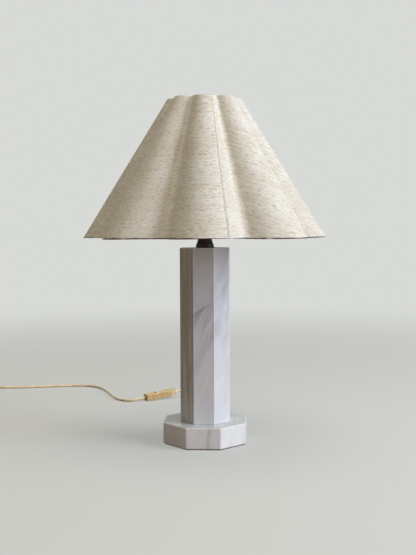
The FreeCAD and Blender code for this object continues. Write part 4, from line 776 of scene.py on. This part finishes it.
bronze = make_bronze()
brass = make_metal("brass", rgb(214, 178, 112), rgb(186, 146, 84), (0.25, 0.4))
steel = make_metal("steel", rgb(200, 200, 198), rgb(160, 160, 158), (0.28, 0.42))
nickel = make_metal("nickel", rgb(214, 210, 204), rgb(188, 184, 176), (0.16, 0.28), turned=True)
white_wire = make_plain("white_wire", rgb(240, 238, 232), rgb(226, 222, 212), (0.35, 0.5))
switch_gold = make_switch_gold()
switch_cream = make_plain("switch_cream", rgb(240, 226, 190), rgb(226, 210, 170), (0.35, 0.5))
plug_gold = make_plain("plug_gold", rgb(212, 182, 126), rgb(196, 166, 110), (0.32, 0.45))
FINISHES = {
    "marble_base": marble_base_look,
    "marble_column": marble_column_look,
    "felt_pad": make_plain("felt", rgb(70, 62, 55), rgb(48, 42, 38), (0.95, 1.0), 300, 1500,
                           0.0004, Sheen_Weight=0.3),
    "threaded_rod": steel, "rod_nut": steel, "rod_washer": steel, "rocker_pin": steel,
    "switch_screws": steel,
    "cord_bush": make_plain("bush_plastic", rgb(214, 190, 142), rgb(198, 172, 122), (0.3, 0.4)),
    "stepped_collar": bronze, "holder_cap": bronze, "holder_sleeve": bronze,
    "lower_shade_ring": bronze, "upper_shade_ring": bronze,
    "holder_insert": make_plain("ceramic", rgb(238, 235, 226), rgb(224, 220, 208), (0.55, 0.7)),
    "thread_shell": brass, "centre_contact": brass, "terminal_screws": brass, "bulb_tip": brass,
    "switch_contacts": brass, "contact_bridge": brass,
    "bulb_insulator": make_plain("black_glass", rgb(34, 34, 38), rgb(20, 20, 24), (0.1, 0.2)),
    "bulb_cap": nickel, "plug_pins": nickel,
    "bulb_glass": make_glass("opal_glass", rgb(246, 244, 236), 0.22, 0.0),
    "bulb_stem": make_glass("clear_glass", rgb(240, 245, 242), 0.05, 0.9),
    "bulb_filament": make_metal("filament", rgb(120, 116, 110), rgb(92, 88, 84), (0.3, 0.5)),
    "shade_bottom_wire": white_wire, "shade_top_wire": white_wire, "shade_ribs": white_wire,
    "fitter_ring": white_wire, "spider_arms": white_wire,
    "internal_lead": flex_look, "plug_tail": flex_look,
    "brown_core": make_plain("core_brown", rgb(112, 70, 44), rgb(94, 56, 34), (0.3, 0.4)),
    "blue_core": make_plain("core_blue", rgb(60, 104, 176), rgb(46, 86, 156), (0.3, 0.4)),
    "switch_front_half": switch_gold, "switch_back_half": switch_gold,
    "switch_rocker": switch_cream, "switch_end_cap": switch_cream,
    "coil_tie": make_plain("tie", rgb(62, 58, 54), rgb(44, 41, 38), (0.5, 0.65)),
    "plug_relief": plug_gold, "plug_body": plug_gold,
}
for node, finish in FINISHES.items():
    NODES[node].data.materials.clear()
    NODES[node].data.materials.append(finish)


# ---------------------------------------------------------------- floor, light and background

BACKGROUND = rgb(216, 218, 215)
TABLE_LIGHT, FLOOR_SEEN = rgb(150, 133, 118), rgb(206, 207, 204)
FLOOR_RIM = 14.0                # half of the floor's side
FLOOR_FADE = (0.7, 2.6, 0.45, 1.0)             # near, far, and the background's share there
ROOM_LIGHT, ROOM_STRENGTH = (1.0, 0.94, 0.84, 1.0), 0.09
SEEN_RAYS = ("Is Camera Ray", "Is Glossy Ray", "Is Transmission Ray")


def ray_share(look, names):
    """1 for rays of any of these kinds."""
    path = look.add("ShaderNodeLightPath")
    total = path.outputs[names[0]]
    for name in names[1:]:
        total = look.math("MAXIMUM", total, path.outputs[name])
    return total


def make_floor():
    """A plain pale floor. Seen directly it is pale and keeps the shadows; towards the lamp it
    gives back the warm, dim light of a wooden table."""
    mesh = bpy.data.meshes.new("floor")
    corners = [(side * FLOOR_RIM, end * FLOOR_RIM, 0)
               for side, end in ((-1, -1), (1, -1), (1, 1), (-1, 1))]
    mesh.from_pydata(corners, [], [(0, 1, 2, 3)])
    floor = bpy.data.objects.new("floor", mesh)
    bpy.context.scene.collection.objects.link(floor)
    look = Look("floor", Roughness=0.9, Specular_IOR_Level=0.1)
    seen = ray_share(look, SEEN_RAYS)
    look.done(look.mix(seen, TABLE_LIGHT, FLOOR_SEEN))
    glow = look.add("ShaderNodeEmission", {"Color": BACKGROUND, "Strength": 1.0})
    length = look.add("ShaderNodeVectorMath", {0: look.place}, operation="LENGTH").outputs["Value"]
    far = look.math("MULTIPLY", look.span(length, *FLOOR_FADE), seen)
    blend = look.add("ShaderNodeMixShader", {0: far})
    look.tree.links.new(look.shader.outputs[0], blend.inputs[1])
    look.tree.links.new(glow.outputs[0], blend.inputs[2])
    output = look.tree.nodes["Material Output"]
    look.tree.links.new(blend.outputs[0], output.inputs["Surface"])
    mesh.materials.append(look.material)


def make_world():
    """Dim warm light all round, and a pale background where the camera looks past the floor."""
    world = bpy.data.worlds.new("room")
    world.use_nodes = True
    bpy.context.scene.world = world
    tree = world.node_tree
    path = tree.nodes.new("ShaderNodeLightPath")
    seen = path.outputs[SEEN_RAYS[0]]
    for name in SEEN_RAYS[1:]:
        either = tree.nodes.new("ShaderNodeMath")
        either.operation = "MAXIMUM"
        tree.links.new(seen, either.inputs[0])
        tree.links.new(path.outputs[name], either.inputs[1])
        seen = either.outputs[0]
    lit = tree.nodes["Background"]
    lit.inputs["Color"].default_value = ROOM_LIGHT
    lit.inputs["Strength"].default_value = ROOM_STRENGTH
    pale = tree.nodes.new("ShaderNodeBackground")
    pale.inputs["Color"].default_value = BACKGROUND
    blend = tree.nodes.new("ShaderNodeMixShader")
    tree.links.new(seen, blend.inputs[0])
    tree.links.new(lit.outputs[0], blend.inputs[1])
    tree.links.new(pale.outputs[0], blend.inputs[2])
    tree.links.new(blend.outputs[0], tree.nodes["World Output"].inputs["Surface"])


LIT = (0, 0, 0.25)              # where the lamps aim
LAMPS = (                       # name, place, size, watts, colour
    ("window_low", (2.714, -1.208, 0.668), (1.8, 0.85), 32, (0.88, 0.97, 1.10)),
    ("window_high", (2.626, -0.704, 1.518), (1.8, 0.9), 26, (0.86, 0.97, 1.14)),
    ("room_right", (2.33, -0.41, 2.10), (1.6, 1.6), 23, (0.96, 1.0, 1.08)),
    ("room_front", (0.399, -2.263, 2.178), (1.8, 1.8), 12, (1.10, 1.0, 0.82)),
    ("ceiling", (0.131, -0.226, 3.239), (2.4, 2.4), 44, (1.08, 1.0, 0.78)),
)


def make_area_light(name, place, size, power, colour):
    data = bpy.data.lights.new(name, "AREA")
    data.shape = "RECTANGLE"
    data.size, data.size_y = size
    data.energy = power
    data.color = colour
    light = bpy.data.objects.new(name, data)
    light.location = place
    light.rotation_euler = (Vector(LIT) - Vector(place)).to_track_quat("-Z", "Y").to_euler()
    bpy.context.scene.collection.objects.link(light)


make_floor()
make_world()
for lamp in LAMPS:
    make_area_light(*lamp)

bpy.context.scene.view_settings.view_transform = "Standard"
